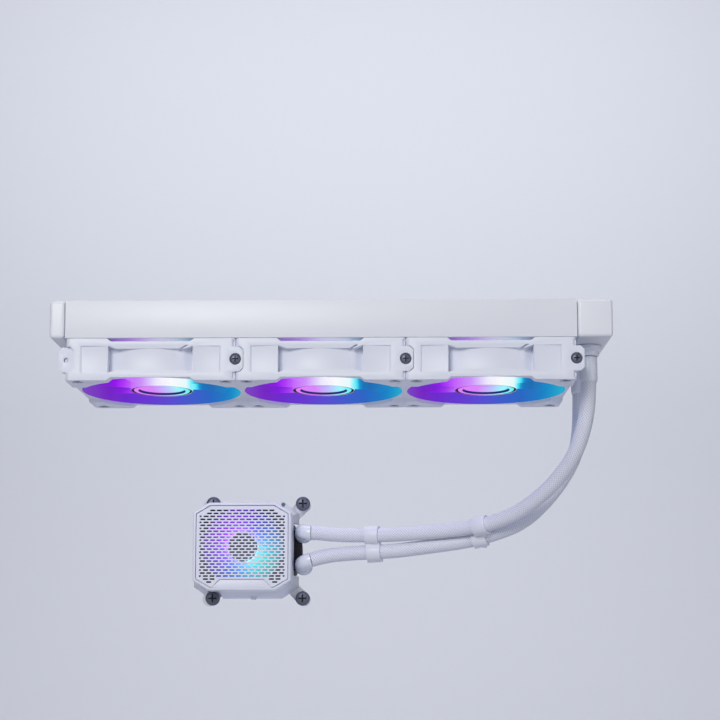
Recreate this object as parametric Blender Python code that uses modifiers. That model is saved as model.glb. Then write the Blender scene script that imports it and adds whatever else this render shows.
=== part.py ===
"""A liquid cooler for a computer processor: a 360 mm radiator with three linked 120 mm fans
under it, two braided hoses, and a pump block with its mounting bracket and screws.

The frame is in metres with +Z up. The origin is the centre of the radiator's top face, +X points
to the tank that holds the hose ports, and +Y points the way the pump's cold plate faces.
"""

import math

import bmesh
import bpy
from mathutils import Matrix, Vector

MM = 0.001
GAP = 0.3 * MM
COLLECTION = "liquid_cooling_radiator"
CUTTERS = "cutters"

# Radiator
CORE_END = 181 * MM
RADIATOR_LEFT = -192 * MM
RADIATOR_RIGHT = 206 * MM
RADIATOR_HALF_WIDTH = 60 * MM
RADIATOR_DEPTH = 27 * MM
TANK_WALL = 1.6 * MM
TANK_ROUND = 2.5 * MM
RAIL_SHEET = 1.2 * MM
RAIL_FLANGE = 11 * MM
TUBE_COUNT = 12
TUBE_PITCH = 9 * MM
TUBE_THICKNESS = 2 * MM
TUBE_DEPTH = 18 * MM
HEADER_THICKNESS = 1.7 * MM
FIN_DEPTH = 20 * MM
FIN_BAR = 2 * MM
PORT_X = 192.5 * MM
PORT_Y = 25 * MM
PORT_RADIUS = 7.7 * MM
PORT_LENGTH = 7.7 * MM
PORT_FLANGE_RADIUS = 10 * MM
PORT_FLANGE = 3 * MM
PLUG_RADIUS = 4 * MM
PLUG_HEAD = 2 * MM
PLUG_BEVEL = 0.6 * MM
PLUG_SHANK = 2 * MM
PLUG_SHANK_LENGTH = 3 * MM
PLUG_HOLE = 2.4 * MM
PLUG_HOLE_DEPTH = 4 * MM
PLUG_Y = 42 * MM
PLUG_SLOT_WIDTH = 1 * MM
PLUG_SLOT_DEPTH = 0.9 * MM
PORT_BORE = 4 * MM
PORT_BORE_TOP = -15 * MM
PORT_BEVEL = 0.5 * MM

# Fans, measured from the middle of each fan
FAN_SIZE = 120 * MM
FAN_DEPTH = 30 * MM
FAN_PLACES = {"left": -FAN_SIZE, "middle": 0.0, "right": FAN_SIZE}
FAN_MIDDLE_Z = -RADIATOR_DEPTH - GAP - FAN_DEPTH / 2
FAN_CORNER = 3.5 * MM
BORE_RADIUS = 58.3 * MM
BORE_SIDES = 40
SHROUD_RADIUS = 59.8 * MM
SCREW_SPACING = 105 * MM
SCREW_HOLE = 2.2 * MM
PAD_STEP = 2.2 * MM
PAD_HALF = 30.9 * MM
PAD_SLOPE = 2.9 * MM
WINDOW_HALF = 30 * MM
WINDOW_SLOPE = 6 * MM
WINDOW_LOW = 9.7 * MM
WINDOW_HIGH = 7.6 * MM
HUB_RADIUS = 23 * MM
HUB_WALL = 1.8 * MM
HUB_LOW = -12.3 * MM
HUB_HIGH = 8.2 * MM
HUB_FLOOR = -6.0 * MM
HUB_FLOOR_THICKNESS = 1.6 * MM
BLADE_COUNT = 7
BLADE_TIP = 57.3 * MM
BLADE_ROOT = 22.2 * MM
BLADE_THICKNESS = 1.5 * MM
BLADE_MIDDLE = -1.5 * MM
BLADE_STEPS = 3
MOTOR_BASE_RADIUS = 22.5 * MM
MOTOR_BASE_LOW = 9.6 * MM
MOTOR_BASE_HIGH = 12.6 * MM
STRUT_COUNT = 4
STRUT_WIDTH = 6 * MM
STRUT_END = 62 * MM
SHAFT_RADIUS = 1.5 * MM
SHAFT_HOLE = 1.9 * MM
TAB_REACH = 5.4 * MM
TAB_THICKNESS = 2.4 * MM
TAB_HALF = 6.3 * MM
TAB_CHAMFER = 2.6 * MM
TAB_ROOT = 8 * MM
LUG_THICKNESS = 5 * MM
LINK_HEAD_RADIUS = 3.9 * MM
LINK_HEAD = 1.7 * MM
LINK_SHANK = 1.45 * MM
LINK_LENGTH = 6.2 * MM
LINK_BEVEL = 0.8 * MM
LINK_SEAT = 0.2 * MM
LINK_PROUD = 0.5 * MM
LINK_HOLE_DEPTH = 8.5 * MM
LINK_RECESS = (4 * MM, 1.0 * MM)
LINK_POCKET_GAP = 0.35 * MM
RECESS_ARM_SHARE = 7
WINDOW_REACH = 48 * MM
PAD_REACH = 46 * MM
STRUT_ANGLE = 45
BLADE_SWEEP = 20
BLADE_SPAN = 40
BLADE_SPAN_LOSS = 3
BLADE_RISE = 15.5 * MM
BLADE_RISE_LOSS = 4.0 * MM
BLADE_CAMBER = 2.0 * MM
HUB_LIP = 1.0 * MM
HUB_SEGMENTS = 21
CAP_BEVEL = 0.6 * MM
DISH_RADIUS = 17 * MM
DISH_FLOOR_RADIUS = 16.5 * MM
DISH_FLOOR = 2.6 * MM
DISH_MIDDLE_RADIUS = 4 * MM
DISH_MIDDLE = 3.2 * MM
STATOR_NECK = 9 * MM
STATOR_RADIUS = 18 * MM
STATOR_HIGH = 5.5 * MM
STATOR_LOW = -3 * MM
LIGHT_BOARD_OUTER = 20.5 * MM
LIGHT_BOARD_INNER = 9.8 * MM
LIGHT_BOARD_THICKNESS = 1.3 * MM

# Hoses
HOSE_RADIUS = 5.6 * MM
HOSE_STEP = 20 * MM
SLEEVE_INNER = 5.95 * MM
SLEEVE_OUTER = 6.6 * MM
SLEEVE_LENGTH = 18 * MM
SLEEVE_BEVEL_LENGTH = 0.8 * MM
SLEEVE_BEVEL = 0.5 * MM
SLEEVE_START = 0.2 * MM
CLIP_INNER = 6.1 * MM
CLIP_BRIDGE_HALF = 2.2 * MM
CLIP_OUTER = 7.4 * MM
CLIP_WIDTH = 10.5 * MM
CLIP_PLACES = {"hose_clip_near_pump": 33 * MM, "hose_clip_middle": 118 * MM}

# Pump block, measured from the cold plate's contact face
CONTACT_Y = 117 * MM
PUMP_X = -57.4 * MM
PUMP_Z = -166.6 * MM
CAP_OFFSET = (-8.1 * MM, 1.6 * MM)
CAP_WIDTH = 76 * MM
CAP_HEIGHT = 68 * MM
CAP_CHAMFER = (12 * MM, 7.5 * MM)
HOUSING_CHAMFER = (13.3 * MM, 9.3 * MM)
CAP_BACK = 27 * MM
CAP_FRONT = 53 * MM
CAP_WALL = 2 * MM
HOUSING_GROWTH = (4 * MM, 4.8 * MM)
HOUSING_BACK = 11 * MM
HOUSING_WALL = 2.2 * MM
HOUSING_FRONT = CAP_BACK - GAP
PLATE_HALF = 28 * MM
PLATE_THICKNESS = 3.6 * MM
MICROFIN_COUNT = 11
MICROFIN_PITCH = 2.4 * MM
MICROFIN_HEIGHT = 2.6 * MM
BASE_RADIUS = 31 * MM
BASE_BACK = 5.4 * MM
BASE_FRONT = 22 * MM
CHAMBER_RADIUS = 22 * MM
CAN_INNER = 9.5 * MM
CAN_OUTER = 11 * MM
BRACKET_BACK = 7.7 * MM
BRACKET_THICKNESS = 3 * MM
BRACKET_RING = 37 * MM
ARM_SPACING = 75 * MM
ARM_HALF_WIDTH = 4.6 * MM
ARM_TIP = 5.6 * MM
ARM_SLOT = 4 * MM
MOUNT_HEAD_RADIUS = 5.65 * MM
MOUNT_HEAD_BACK = 22 * MM
MOUNT_HEAD_FRONT = 26 * MM
MOUNT_SHANK = 2 * MM
MOUNT_END = -3 * MM
MOUNT_CLEARANCE = 6.8 * MM
SPRING_RADIUS = 3.3 * MM
SPRING_WIRE = 0.45 * MM
SPRING_TURNS = 3
SPRING_SIDES = 6
GLAND_RADIUS = 1.5 * MM
GLAND_LENGTH = 2.6 * MM
GLAND_PLACE = (29.2 * MM, 34.6 * MM, 21 * MM)
GLAND_DIRECTION = (0.544, 0.839, 0.324)
ELBOW_X = 37.9 * MM
ELBOW_HEIGHTS = {"upper": 13.1 * MM, "lower": -9.9 * MM}
ELBOW_RADIUS = 5.8 * MM
ELBOW_BEND = 6.4 * MM
ELBOW_TOP = 37 * MM
ELBOW_BASE = 15.3 * MM
ELBOW_STEPS = 6
ELBOW_COLLAR = 1.1 * MM
ELBOW_COLLAR_LENGTH = 3 * MM
CHAMFER_TRIM = 0.41
PLATE_CORNER = 4 * MM
MICROFIN_HALF = 0.6 * MM
MICROFIN_REACH = 13 * MM
MOTOR_FLOOR = 14 * MM
CHAMBER_TOP = 12 * MM
CAN_ROOM_TOP = 24 * MM
CAN_TOP = 25.5 * MM
BASE_WALL = 3 * MM
BLOCK_LEFT = 26 * MM
BLOCK_MARGIN = 8 * MM
BLOCK_RIGHT_MARGIN = 7 * MM
BRACKET_CLEARANCE = 0.6 * MM
ARM_OVERLAP = 3 * MM
ARM_TIP_ANGLE = 78
ARM_SLOT_CLEARANCE = 0.4 * MM
NOTCH_INWARD = 4 * MM
NOTCH_OUTWARD = 8 * MM
NOTCH_MARGIN = 8.5 * MM
NOTCH_TOP = 2 * MM
SEAT_DEPTH = 2.4 * MM
SEAT_LEDGE = 1.2 * MM
WINDOW_TOP = 2.2 * MM
WINDOW_BOTTOM = 4 * MM
ROOM_TOP = 3.2 * MM
PANEL_BACK = 2 * MM
PANEL_FRONT = 0.4 * MM
PLATE_TOP = -25.7 * MM
PLATE_LOW = -31.5 * MM
PLATE_TOP_HALF = 16.4 * MM
PLATE_LOW_HALF = 22.8 * MM
PLATE_DEPTH = 0.6 * MM
GRILLE_FIRST_ROW_LOSS = 8 * MM
GRILLE_BAR = 1.2 * MM
DIFFUSER_OUTER = 30.5 * MM
DIFFUSER_INNER = 11 * MM
DIFFUSER_BACK = 43.5 * MM
DIFFUSER_FRONT = 46 * MM
BOARD_BACK = 38.5 * MM
BOARD_FRONT = 40.1 * MM
BOARD_GAP = 0.6 * MM
COIL_OUTER = 22 * MM
COIL_GAP = 0.4 * MM
COIL_BACK = 14.4 * MM
COIL_FRONT = 27 * MM
MAGNET_RADIUS = 8.8 * MM
MAGNET_FRONT = 23 * MM
DISC_RADIUS = 19 * MM
DISC_BACK = 10.2 * MM
DISC_FRONT = 11.4 * MM
VANE_COUNT = 6
VANE_LOW = (5 * MM, -0.7 * MM, 7.6 * MM)
VANE_HIGH = (18.5 * MM, 0.7 * MM, 10.6 * MM)
MOUNT_BEVEL = 0.8 * MM
MOUNT_RECESS = (5.4 * MM, 1.6 * MM)
SEAL_OUTER = 26.5 * MM
SEAL_INNER = 23 * MM
SEAL_BACK = 3.9 * MM
SEAL_FRONT = 5.1 * MM
GRILLE_ROWS = 12
GRILLE_PITCH = 4.628 * MM
GRILLE_FIRST_ROW = 27.9 * MM
GRILLE_SLOT = 2.6 * MM
GRILLE_HALF = 33.3 * MM

# Hose routes: from the radiator's port to the pump's elbow
FRONT_ROUTE = [
    (0.1925, -0.0250, -0.0356),
    (0.1925, -0.0250, -0.0460),
    (0.1923, -0.0248, -0.0570),
    (0.1913, -0.0225, -0.0735),
    (0.1885, -0.0175, -0.0885),
    (0.1836, -0.0095, -0.1030),
    (0.1752, 0.0010, -0.1165),
    (0.1619, 0.0140, -0.1305),
    (0.1435, 0.0290, -0.1430),
    (0.1240, 0.0415, -0.1498),
    (0.1050, 0.0505, -0.1526),
    (0.0800, 0.0595, -0.1546),
    (0.0500, 0.0680, -0.1559),
    (0.0230, 0.0745, -0.1558),
    (0.0050, 0.0783, -0.1548),
    (-0.0060, 0.0799, -0.1536),
    (-0.0124, 0.0800, -0.1535),
]
REAR_ROUTE = [
    (0.1925, 0.0250, -0.0356),
    (0.1925, 0.0250, -0.0460),
    (0.1924, 0.0252, -0.0600),
    (0.1915, 0.0268, -0.0820),
    (0.1875, 0.0300, -0.1010),
    (0.1764, 0.0360, -0.1210),
    (0.1610, 0.0435, -0.1390),
    (0.1450, 0.0475, -0.1505),
    (0.1220, 0.0545, -0.1585),
    (0.1030, 0.0603, -0.1623),
    (0.0800, 0.0660, -0.1652),
    (0.0520, 0.0725, -0.1682),
    (0.0230, 0.0773, -0.1695),
    (0.0050, 0.0793, -0.1709),
    (-0.0060, 0.0800, -0.1729),
    (-0.0123, 0.0800, -0.1746),
]

# Colours: red, green, blue, then roughness and metallic
FINISHES = {
    "white_plastic": ((0.86, 0.87, 0.90), 0.45, 0.0),
    "white_metal": ((0.88, 0.88, 0.90), 0.35, 0.1),
    "white_braid": ((0.80, 0.81, 0.84), 0.70, 0.0),
    "clear_white": ((0.90, 0.90, 0.95), 0.25, 0.0),
    "aluminium": ((0.75, 0.76, 0.78), 0.40, 1.0),
    "copper": ((0.72, 0.40, 0.26), 0.25, 1.0),
    "steel": ((0.55, 0.56, 0.58), 0.30, 1.0),
    "dark_steel": ((0.13, 0.14, 0.17), 0.40, 0.9),
    "black_plastic": ((0.03, 0.03, 0.035), 0.50, 0.0),
    "board": ((0.05, 0.06, 0.09), 0.50, 0.0),
    "rubber": ((0.02, 0.02, 0.02), 0.80, 0.0),
}


# ---------------------------------------------------------------- tools


def start_scene():
    """Empty the scene, and make the collections for the parts and the cutters."""
    for obj in list(bpy.data.objects):
        bpy.data.objects.remove(obj, do_unlink=True)
    for name in (COLLECTION, CUTTERS):
        collection = bpy.data.collections.new(name)
        bpy.context.scene.collection.children.link(collection)


def finish_material(name, finish):
    colour, roughness, metallic = FINISHES[finish]
    material = bpy.data.materials.new(f"{name}_{finish}")
    material.use_nodes = True
    shader = material.node_tree.nodes["Principled BSDF"]
    shader.inputs["Base Color"].default_value = (*colour, 1.0)
    shader.inputs["Roughness"].default_value = roughness
    shader.inputs["Metallic"].default_value = metallic
    return material


def guide(name, mesh):
    """A cutter or joining body, kept out of the part."""
    obj = bpy.data.objects.new(name, mesh)
    bpy.data.collections[CUTTERS].objects.link(obj)
    obj.hide_render = True
    obj.display_type = "WIRE"
    return obj


def part(name, mesh, finish, parent=None, location=(0, 0, 0)):
    """A named sub-part with its own material."""
    obj = bpy.data.objects.new(name, mesh)
    bpy.data.collections[COLLECTION].objects.link(obj)
    obj.parent = parent
    obj.location = location
    obj.data.materials.clear()
    obj.data.materials.append(finish_material(name, finish))
    return obj


def empty(name, location, rotation=(0, 0, 0)):
    obj = bpy.data.objects.new(name, None)
    bpy.data.collections[CUTTERS].objects.link(obj)
    obj.location = location
    obj.rotation_euler = rotation
    return obj


def evaluated_mesh(obj):
    """The mesh that an object shows, welded; the object itself is removed."""
    bpy.context.view_layer.update()
    depsgraph = bpy.context.evaluated_depsgraph_get()
    mesh = bpy.data.meshes.new_from_object(obj.evaluated_get(depsgraph), depsgraph=depsgraph)
    shape = bmesh.new()
    shape.from_mesh(mesh)
    bmesh.ops.remove_doubles(shape, verts=shape.verts, dist=0.000001)
    bmesh.ops.recalc_face_normals(shape, faces=shape.faces)
    shape.to_mesh(mesh)
    shape.free()
    bpy.data.objects.remove(obj, do_unlink=True)
    return mesh


def combined(base, *steps):
    """A mesh joined with or cut by others, each step being an operation and a mesh."""
    body = guide("body", base)
    tools = []
    for operation, mesh in steps:
        tool = guide("tool", mesh)
        modifier = body.modifiers.new(operation, "BOOLEAN")
        modifier.operation = operation
        modifier.solver = "EXACT"
        modifier.object = tool
        tools.append(tool)
    mesh = evaluated_mesh(body)
    for tool in tools:
        bpy.data.objects.remove(tool, do_unlink=True)
    return mesh


def merged(*meshes):
    """One mesh that holds several bodies which don't touch."""
    shape = bmesh.new()
    for mesh in meshes:
        shape.from_mesh(mesh)
    mesh = bpy.data.meshes.new("merged")
    shape.to_mesh(mesh)
    shape.free()
    return mesh


def moved(mesh, matrix):
    mesh.transform(matrix)
    return mesh


def block(low, high):
    """A box between two corners."""
    shape = bmesh.new()
    bmesh.ops.create_cube(shape, size=1.0)
    size = Vector(high) - Vector(low)
    centre = (Vector(high) + Vector(low)) / 2
    bmesh.ops.transform(shape, matrix=Matrix.Diagonal((*size, 1.0)), verts=shape.verts)
    bmesh.ops.translate(shape, vec=centre, verts=shape.verts)
    mesh = bpy.data.meshes.new("block")
    shape.to_mesh(mesh)
    shape.free()
    return mesh


def rounded_block(low, high, radius):
    obj = guide("rounded_block", block(low, high))
    bevel = obj.modifiers.new("round", "BEVEL")
    bevel.width = radius
    bevel.segments = 2
    return evaluated_mesh(obj)


def cylinder(radius, start, end, segments=24, x=0.0, y=0.0):
    """A cylinder along Z."""
    shape = bmesh.new()
    bmesh.ops.create_cone(
        shape, cap_ends=True, segments=segments, radius1=radius, radius2=radius, depth=end - start
    )
    bmesh.ops.translate(shape, vec=(x, y, (start + end) / 2), verts=shape.verts)
    mesh = bpy.data.meshes.new("cylinder")
    shape.to_mesh(mesh)
    shape.free()
    return mesh


def turned(profile, segments=32, closed=False):
    """A profile of (radius, height) points, turned about Z. It runs down its outer side."""
    mesh = bpy.data.meshes.new("profile")
    count = len(profile)
    edges = [(i, i + 1) for i in range(count - 1)]
    if closed:
        edges.append((count - 1, 0))
    mesh.from_pydata([(radius, 0, height) for radius, height in profile], edges, [])
    obj = guide("turned", mesh)
    screw = obj.modifiers.new("turn", "SCREW")
    screw.steps = segments
    screw.render_steps = segments
    screw.use_merge_vertices = True
    screw.merge_threshold = 0.00001
    return evaluated_mesh(obj)


def slab(outlines, low, high):
    """Flat outlines, an outer one and its holes or several apart, between two heights."""
    curve = bpy.data.curves.new("slab", "CURVE")
    curve.dimensions = "2D"
    curve.fill_mode = "BOTH"
    curve.extrude = (high - low) / 2
    curve.resolution_u = 1
    curve.render_resolution_u = 0
    for outline in outlines:
        spline = curve.splines.new("POLY")
        spline.points.add(len(outline) - 1)
        for point, (x, y) in zip(spline.points, outline):
            point.co = (x, y, 0, 1)
        spline.use_cyclic_u = True
    obj = guide("slab", curve)
    mesh = evaluated_mesh(obj)
    return moved(mesh, Matrix.Translation((0, 0, (high + low) / 2)))


def tube(points, radius, sides_level):
    """A round tube through points, with filled ends."""
    curve = bpy.data.curves.new("tube", "CURVE")
    curve.dimensions = "3D"
    curve.bevel_depth = radius
    curve.bevel_resolution = sides_level
    curve.use_fill_caps = True
    curve.resolution_u = 1
    curve.render_resolution_u = 0
    spline = curve.splines.new("POLY")
    spline.points.add(len(points) - 1)
    for point, place in zip(spline.points, points):
        point.co = (*place, 1)
    return evaluated_mesh(guide("tube", curve))


def circle(radius, segments, x=0.0, y=0.0):
    turn = 2 * math.pi / segments
    return [
        (x + radius * math.cos(i * turn), y + radius * math.sin(i * turn)) for i in range(segments)
    ]


def arc(radius, start, end, steps, x=0.0, y=0.0):
    """Points on an arc, with angles in degrees."""
    points = []
    for i in range(steps + 1):
        angle = math.radians(start + (end - start) * i / steps)
        points.append((x + radius * math.cos(angle), y + radius * math.sin(angle)))
    return points


def rectangle(low, high):
    return [(low[0], low[1]), (high[0], low[1]), (high[0], high[1]), (low[0], high[1])]


def octagon(width, height, chamfer, x=0.0, y=0.0):
    """A rectangle with its corners cut off."""
    half_width = width / 2
    half_height = height / 2
    flat_x = half_width - chamfer[0]
    flat_y = half_height - chamfer[1]
    corners = [
        (half_width, -flat_y),
        (half_width, flat_y),
        (flat_x, half_height),
        (-flat_x, half_height),
        (-half_width, flat_y),
        (-half_width, -flat_y),
        (-flat_x, -half_height),
        (flat_x, -half_height),
    ]
    return [(x + a, y + b) for a, b in corners]


def smooth(obj, angle=35):
    """Smooth shading with sharp edges kept."""
    obj.data.shade_smooth()
    obj.data.set_sharp_from_angle(angle=math.radians(angle))
    return obj


Z_TO_X = Matrix.Rotation(math.radians(90), 4, "Y")
Z_TO_MINUS_Y = Matrix.Rotation(math.radians(90), 4, "X")


# ---------------------------------------------------------------- radiator


def side_rail(name, side):
    """A channel along one long side, with holes for the case screws above and the fans below."""
    web = RADIATOR_HALF_WIDTH
    inner = web - RAIL_SHEET
    lip = web - RAIL_FLANGE
    outline = [
        (lip, 0),
        (lip, -RAIL_SHEET),
        (inner, -RAIL_SHEET),
        (inner, RAIL_SHEET - RADIATOR_DEPTH),
        (lip, RAIL_SHEET - RADIATOR_DEPTH),
        (lip, -RADIATOR_DEPTH),
        (web, -RADIATOR_DEPTH),
        (web, 0),
    ]
    reach = CORE_END - GAP
    channel = slab([outline], -reach, reach)
    channel = moved(channel, Matrix.Rotation(math.radians(90), 4, "X"))
    channel = moved(channel, Matrix.Rotation(math.radians(90), 4, "Z"))
    holes = []
    for middle in FAN_PLACES.values():
        for end in (-1, 1):
            x = middle + end * SCREW_SPACING / 2
            holes.append(cylinder(SCREW_HOLE, -RADIATOR_DEPTH - MM, MM, 6, x, SCREW_SPACING / 2))
    channel = combined(channel, ("DIFFERENCE", merged(*holes)))
    if side < 0:
        channel = moved(channel, Matrix.Rotation(math.pi, 4, "Z"))
    return part(name, channel, "white_metal")


def end_tank(name, near, far, ports):
    """A hollow tank that is open towards the core. Ports go down through its floor."""
    outer_low = (min(near, far), -RADIATOR_HALF_WIDTH, -RADIATOR_DEPTH)
    outer_high = (max(near, far), RADIATOR_HALF_WIDTH, 0)
    shell = rounded_block(outer_low, outer_high, TANK_ROUND)
    mouth = near - math.copysign(TANK_ROUND, near)
    back = far - math.copysign(TANK_WALL, far)
    inner_half = RADIATOR_HALF_WIDTH - TANK_ROUND
    rooms = [(-inner_half, inner_half)]
    if ports:
        rooms = [(-inner_half, -TANK_WALL / 2), (TANK_WALL / 2, inner_half)]
    cavities = []
    for low_y, high_y in rooms:
        low = (min(mouth, back), low_y, -RADIATOR_DEPTH + TANK_ROUND)
        high = (max(mouth, back), high_y, -TANK_ROUND)
        cavities.append(block(low, high))
    steps = [("DIFFERENCE", merged(*cavities))]
    plug_reach = (far - math.copysign(PLUG_HOLE_DEPTH, far), far + math.copysign(MM, far))
    if ports:
        bores = []
        for y in (-PORT_Y, PORT_Y):
            bores.append(cylinder(PORT_BORE, -RADIATOR_DEPTH - MM, PORT_BORE_TOP, 16, PORT_X, y))
        steps.append(("DIFFERENCE", merged(*bores)))
    else:
        hole = cylinder(PLUG_HOLE, min(plug_reach), max(plug_reach), 12)
        hole = moved(hole, Z_TO_X)
        hole = moved(hole, Matrix.Translation((0, PLUG_Y, -RADIATOR_DEPTH / 2)))
        steps.append(("DIFFERENCE", hole))
    return smooth(part(name, combined(shell, *steps), "white_metal"))


def tube_bank():
    """Flat coolant tubes between two header plates."""
    outer_tube = (TUBE_COUNT - 1) / 2 * TUBE_PITCH + TUBE_THICKNESS / 2
    header_half = RADIATOR_HALF_WIDTH - RAIL_SHEET - 3 * GAP
    end = CORE_END - GAP
    inner_end = end - HEADER_THICKNESS
    outline = [
        (-end, -header_half),
        (-inner_end, -header_half),
        (-inner_end, -outer_tube),
        (inner_end, -outer_tube),
        (inner_end, -header_half),
        (end, -header_half),
        (end, header_half),
        (inner_end, header_half),
        (inner_end, outer_tube),
        (-inner_end, outer_tube),
        (-inner_end, header_half),
        (-end, header_half),
    ]
    windows = []
    window_width = TUBE_PITCH - TUBE_THICKNESS
    for i in range(TUBE_COUNT - 1):
        low = -outer_tube + TUBE_THICKNESS + i * TUBE_PITCH
        windows.append(rectangle((-inner_end, low), (inner_end, low + window_width)))
    middle = -RADIATOR_DEPTH / 2
    mesh = slab([outline, *windows], middle - TUBE_DEPTH / 2, middle + TUBE_DEPTH / 2)
    return part("tube_bank", mesh, "aluminium")


def fin_pack():
    """Fin rows between the tubes, held together by two cross bars."""
    row_half = (TUBE_PITCH - TUBE_THICKNESS) / 2 - GAP
    reach = CORE_END - GAP - HEADER_THICKNESS - GAP
    top = -RADIATOR_DEPTH / 2 + FIN_DEPTH / 2
    rows = []
    for i in range(TUBE_COUNT + 1):
        y = (i - TUBE_COUNT / 2) * TUBE_PITCH
        rows.append(block((-reach, y - row_half, top - FIN_DEPTH), (reach, y + row_half, top)))
    across = TUBE_COUNT / 2 * TUBE_PITCH
    tube_top = -RADIATOR_DEPTH / 2 + TUBE_DEPTH / 2
    bars = []
    for x in (-reach + FIN_BAR, reach - FIN_BAR):
        low = (x - FIN_BAR / 2, -across, tube_top + GAP)
        bars.append(block(low, (x + FIN_BAR / 2, across, top + GAP)))
    return part("fin_pack", combined(merged(*rows), ("UNION", merged(*bars))), "aluminium")


def port_fitting(name, y):
    """The fitting on a port, with its flange against the tank."""
    flange = -PORT_FLANGE
    low = -PORT_LENGTH
    profile = [
        (0, 0),
        (PORT_FLANGE_RADIUS, 0),
        (PORT_FLANGE_RADIUS, flange),
        (PORT_RADIUS, flange - MM),
        (PORT_RADIUS, low + PORT_BEVEL),
        (PORT_RADIUS - PORT_BEVEL, low),
        (0, low),
    ]
    place = (PORT_X, y, -RADIATOR_DEPTH - GAP)
    return smooth(part(name, turned(profile, 20), "white_metal", location=place))


def fill_plug():
    """The slotted screw that closes the filling hole in the plain tank's end."""
    profile = [
        (0, PLUG_HEAD),
        (PLUG_RADIUS - PLUG_BEVEL, PLUG_HEAD),
        (PLUG_RADIUS, PLUG_HEAD - PLUG_BEVEL),
        (PLUG_RADIUS, GAP),
        (PLUG_SHANK, GAP),
        (PLUG_SHANK, -PLUG_SHANK_LENGTH),
        (0, -PLUG_SHANK_LENGTH),
    ]
    half = PLUG_SLOT_WIDTH / 2
    reach = PLUG_RADIUS + MM
    slot = block((-reach, -half, PLUG_HEAD - PLUG_SLOT_DEPTH), (reach, half, PLUG_HEAD + MM))
    mesh = combined(turned(profile, 16), ("DIFFERENCE", slot))
    obj = part("fill_plug", mesh, "steel")
    obj.rotation_euler = (0, math.radians(-90), 0)
    obj.location = (RADIATOR_LEFT, PLUG_Y, -RADIATOR_DEPTH / 2)
    return smooth(obj)


# ---------------------------------------------------------------- fans


def four_sides(mesh_maker):
    """The same body on all four sides of a fan."""
    meshes = []
    for quarter in range(4):
        turn = Matrix.Rotation(quarter * math.pi / 2, 4, "Z")
        meshes.append(moved(mesh_maker(), turn))
    return merged(*meshes)


def side_window():
    """The space beside the round shroud on the near side, as wide as the corner boxes leave."""
    inner = WINDOW_HALF - WINDOW_SLOPE
    outline = [
        (-WINDOW_HALF, -WINDOW_LOW),
        (-inner, -WINDOW_HIGH),
        (inner, -WINDOW_HIGH),
        (WINDOW_HALF, -WINDOW_LOW),
        (WINDOW_HALF, WINDOW_LOW),
        (inner, WINDOW_HIGH),
        (-inner, WINDOW_HIGH),
        (-WINDOW_HALF, WINDOW_LOW),
    ]
    mesh = slab([outline], WINDOW_REACH, FAN_SIZE / 2 + MM)
    return moved(mesh, Z_TO_MINUS_Y)


def pad_gap(side):
    """The shallow step between two corner pads on the near side, above or below."""
    plane = side * FAN_DEPTH / 2
    outline = [
        (-PAD_HALF - PAD_SLOPE / 2, plane + side * MM),
        (-PAD_HALF, plane),
        (-PAD_HALF + PAD_SLOPE, plane - side * PAD_STEP),
        (PAD_HALF - PAD_SLOPE, plane - side * PAD_STEP),
        (PAD_HALF, plane),
        (PAD_HALF + PAD_SLOPE / 2, plane + side * MM),
    ]
    mesh = slab([outline], PAD_REACH, FAN_SIZE / 2 + MM)
    return moved(mesh, Z_TO_MINUS_Y)


def link_outline(reach, root, spare):
    """A tab's outline with its two free corners cut off, pointing to +X."""
    half = TAB_HALF + spare
    outer = half + TAB_CHAMFER
    tip = reach + spare
    return [
        (-root, -outer),
        (tip - TAB_CHAMFER, -outer),
        (tip, -half),
        (tip, half),
        (tip - TAB_CHAMFER, outer),
        (-root, outer),
    ]


def link_layer(outline, x, front, thickness):
    """A flat body in the plane of the near side, its front face at a depth behind that side."""
    near = FAN_SIZE / 2 - front
    mesh = slab([outline], near - thickness, near)
    mesh = moved(mesh, Z_TO_MINUS_Y)
    return moved(mesh, Matrix.Translation((x, 0, 0)))


def mirrored(outline):
    return [(-x, y) for x, y in reversed(outline)]


def screw_well(x):
    """The hole for a link screw, with its counterbore, from the near side."""
    profile = [
        (0, MM),
        (LINK_HEAD_RADIUS + GAP, MM),
        (LINK_HEAD_RADIUS + GAP, -LINK_HEAD + LINK_SEAT),
        (LINK_SHANK + GAP, -LINK_HEAD + LINK_SEAT),
        (LINK_SHANK + GAP, -LINK_HOLE_DEPTH),
        (0, -LINK_HOLE_DEPTH),
    ]
    mesh = moved(turned(profile, 12), Z_TO_MINUS_Y)
    return moved(mesh, Matrix.Translation((x, -FAN_SIZE / 2, 0)))


def motor_carrier():
    """The disc that holds the motor, with struts to the four corners."""
    outline = []
    half = STRUT_WIDTH / 2
    half_angle = math.degrees(math.asin(half / MOTOR_BASE_RADIUS))
    for i in range(STRUT_COUNT):
        middle = STRUT_ANGLE + 360 / STRUT_COUNT * i
        turn = Matrix.Rotation(math.radians(middle), 2)
        outline += [tuple(turn @ Vector((STRUT_END, -half))), tuple(turn @ Vector((STRUT_END, half)))]
        following = middle + 360 / STRUT_COUNT
        outline += arc(MOTOR_BASE_RADIUS, middle + half_angle, following - half_angle, 3)
    return slab([outline, circle(SHAFT_HOLE, 8)], MOTOR_BASE_LOW, MOTOR_BASE_HIGH)


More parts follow.
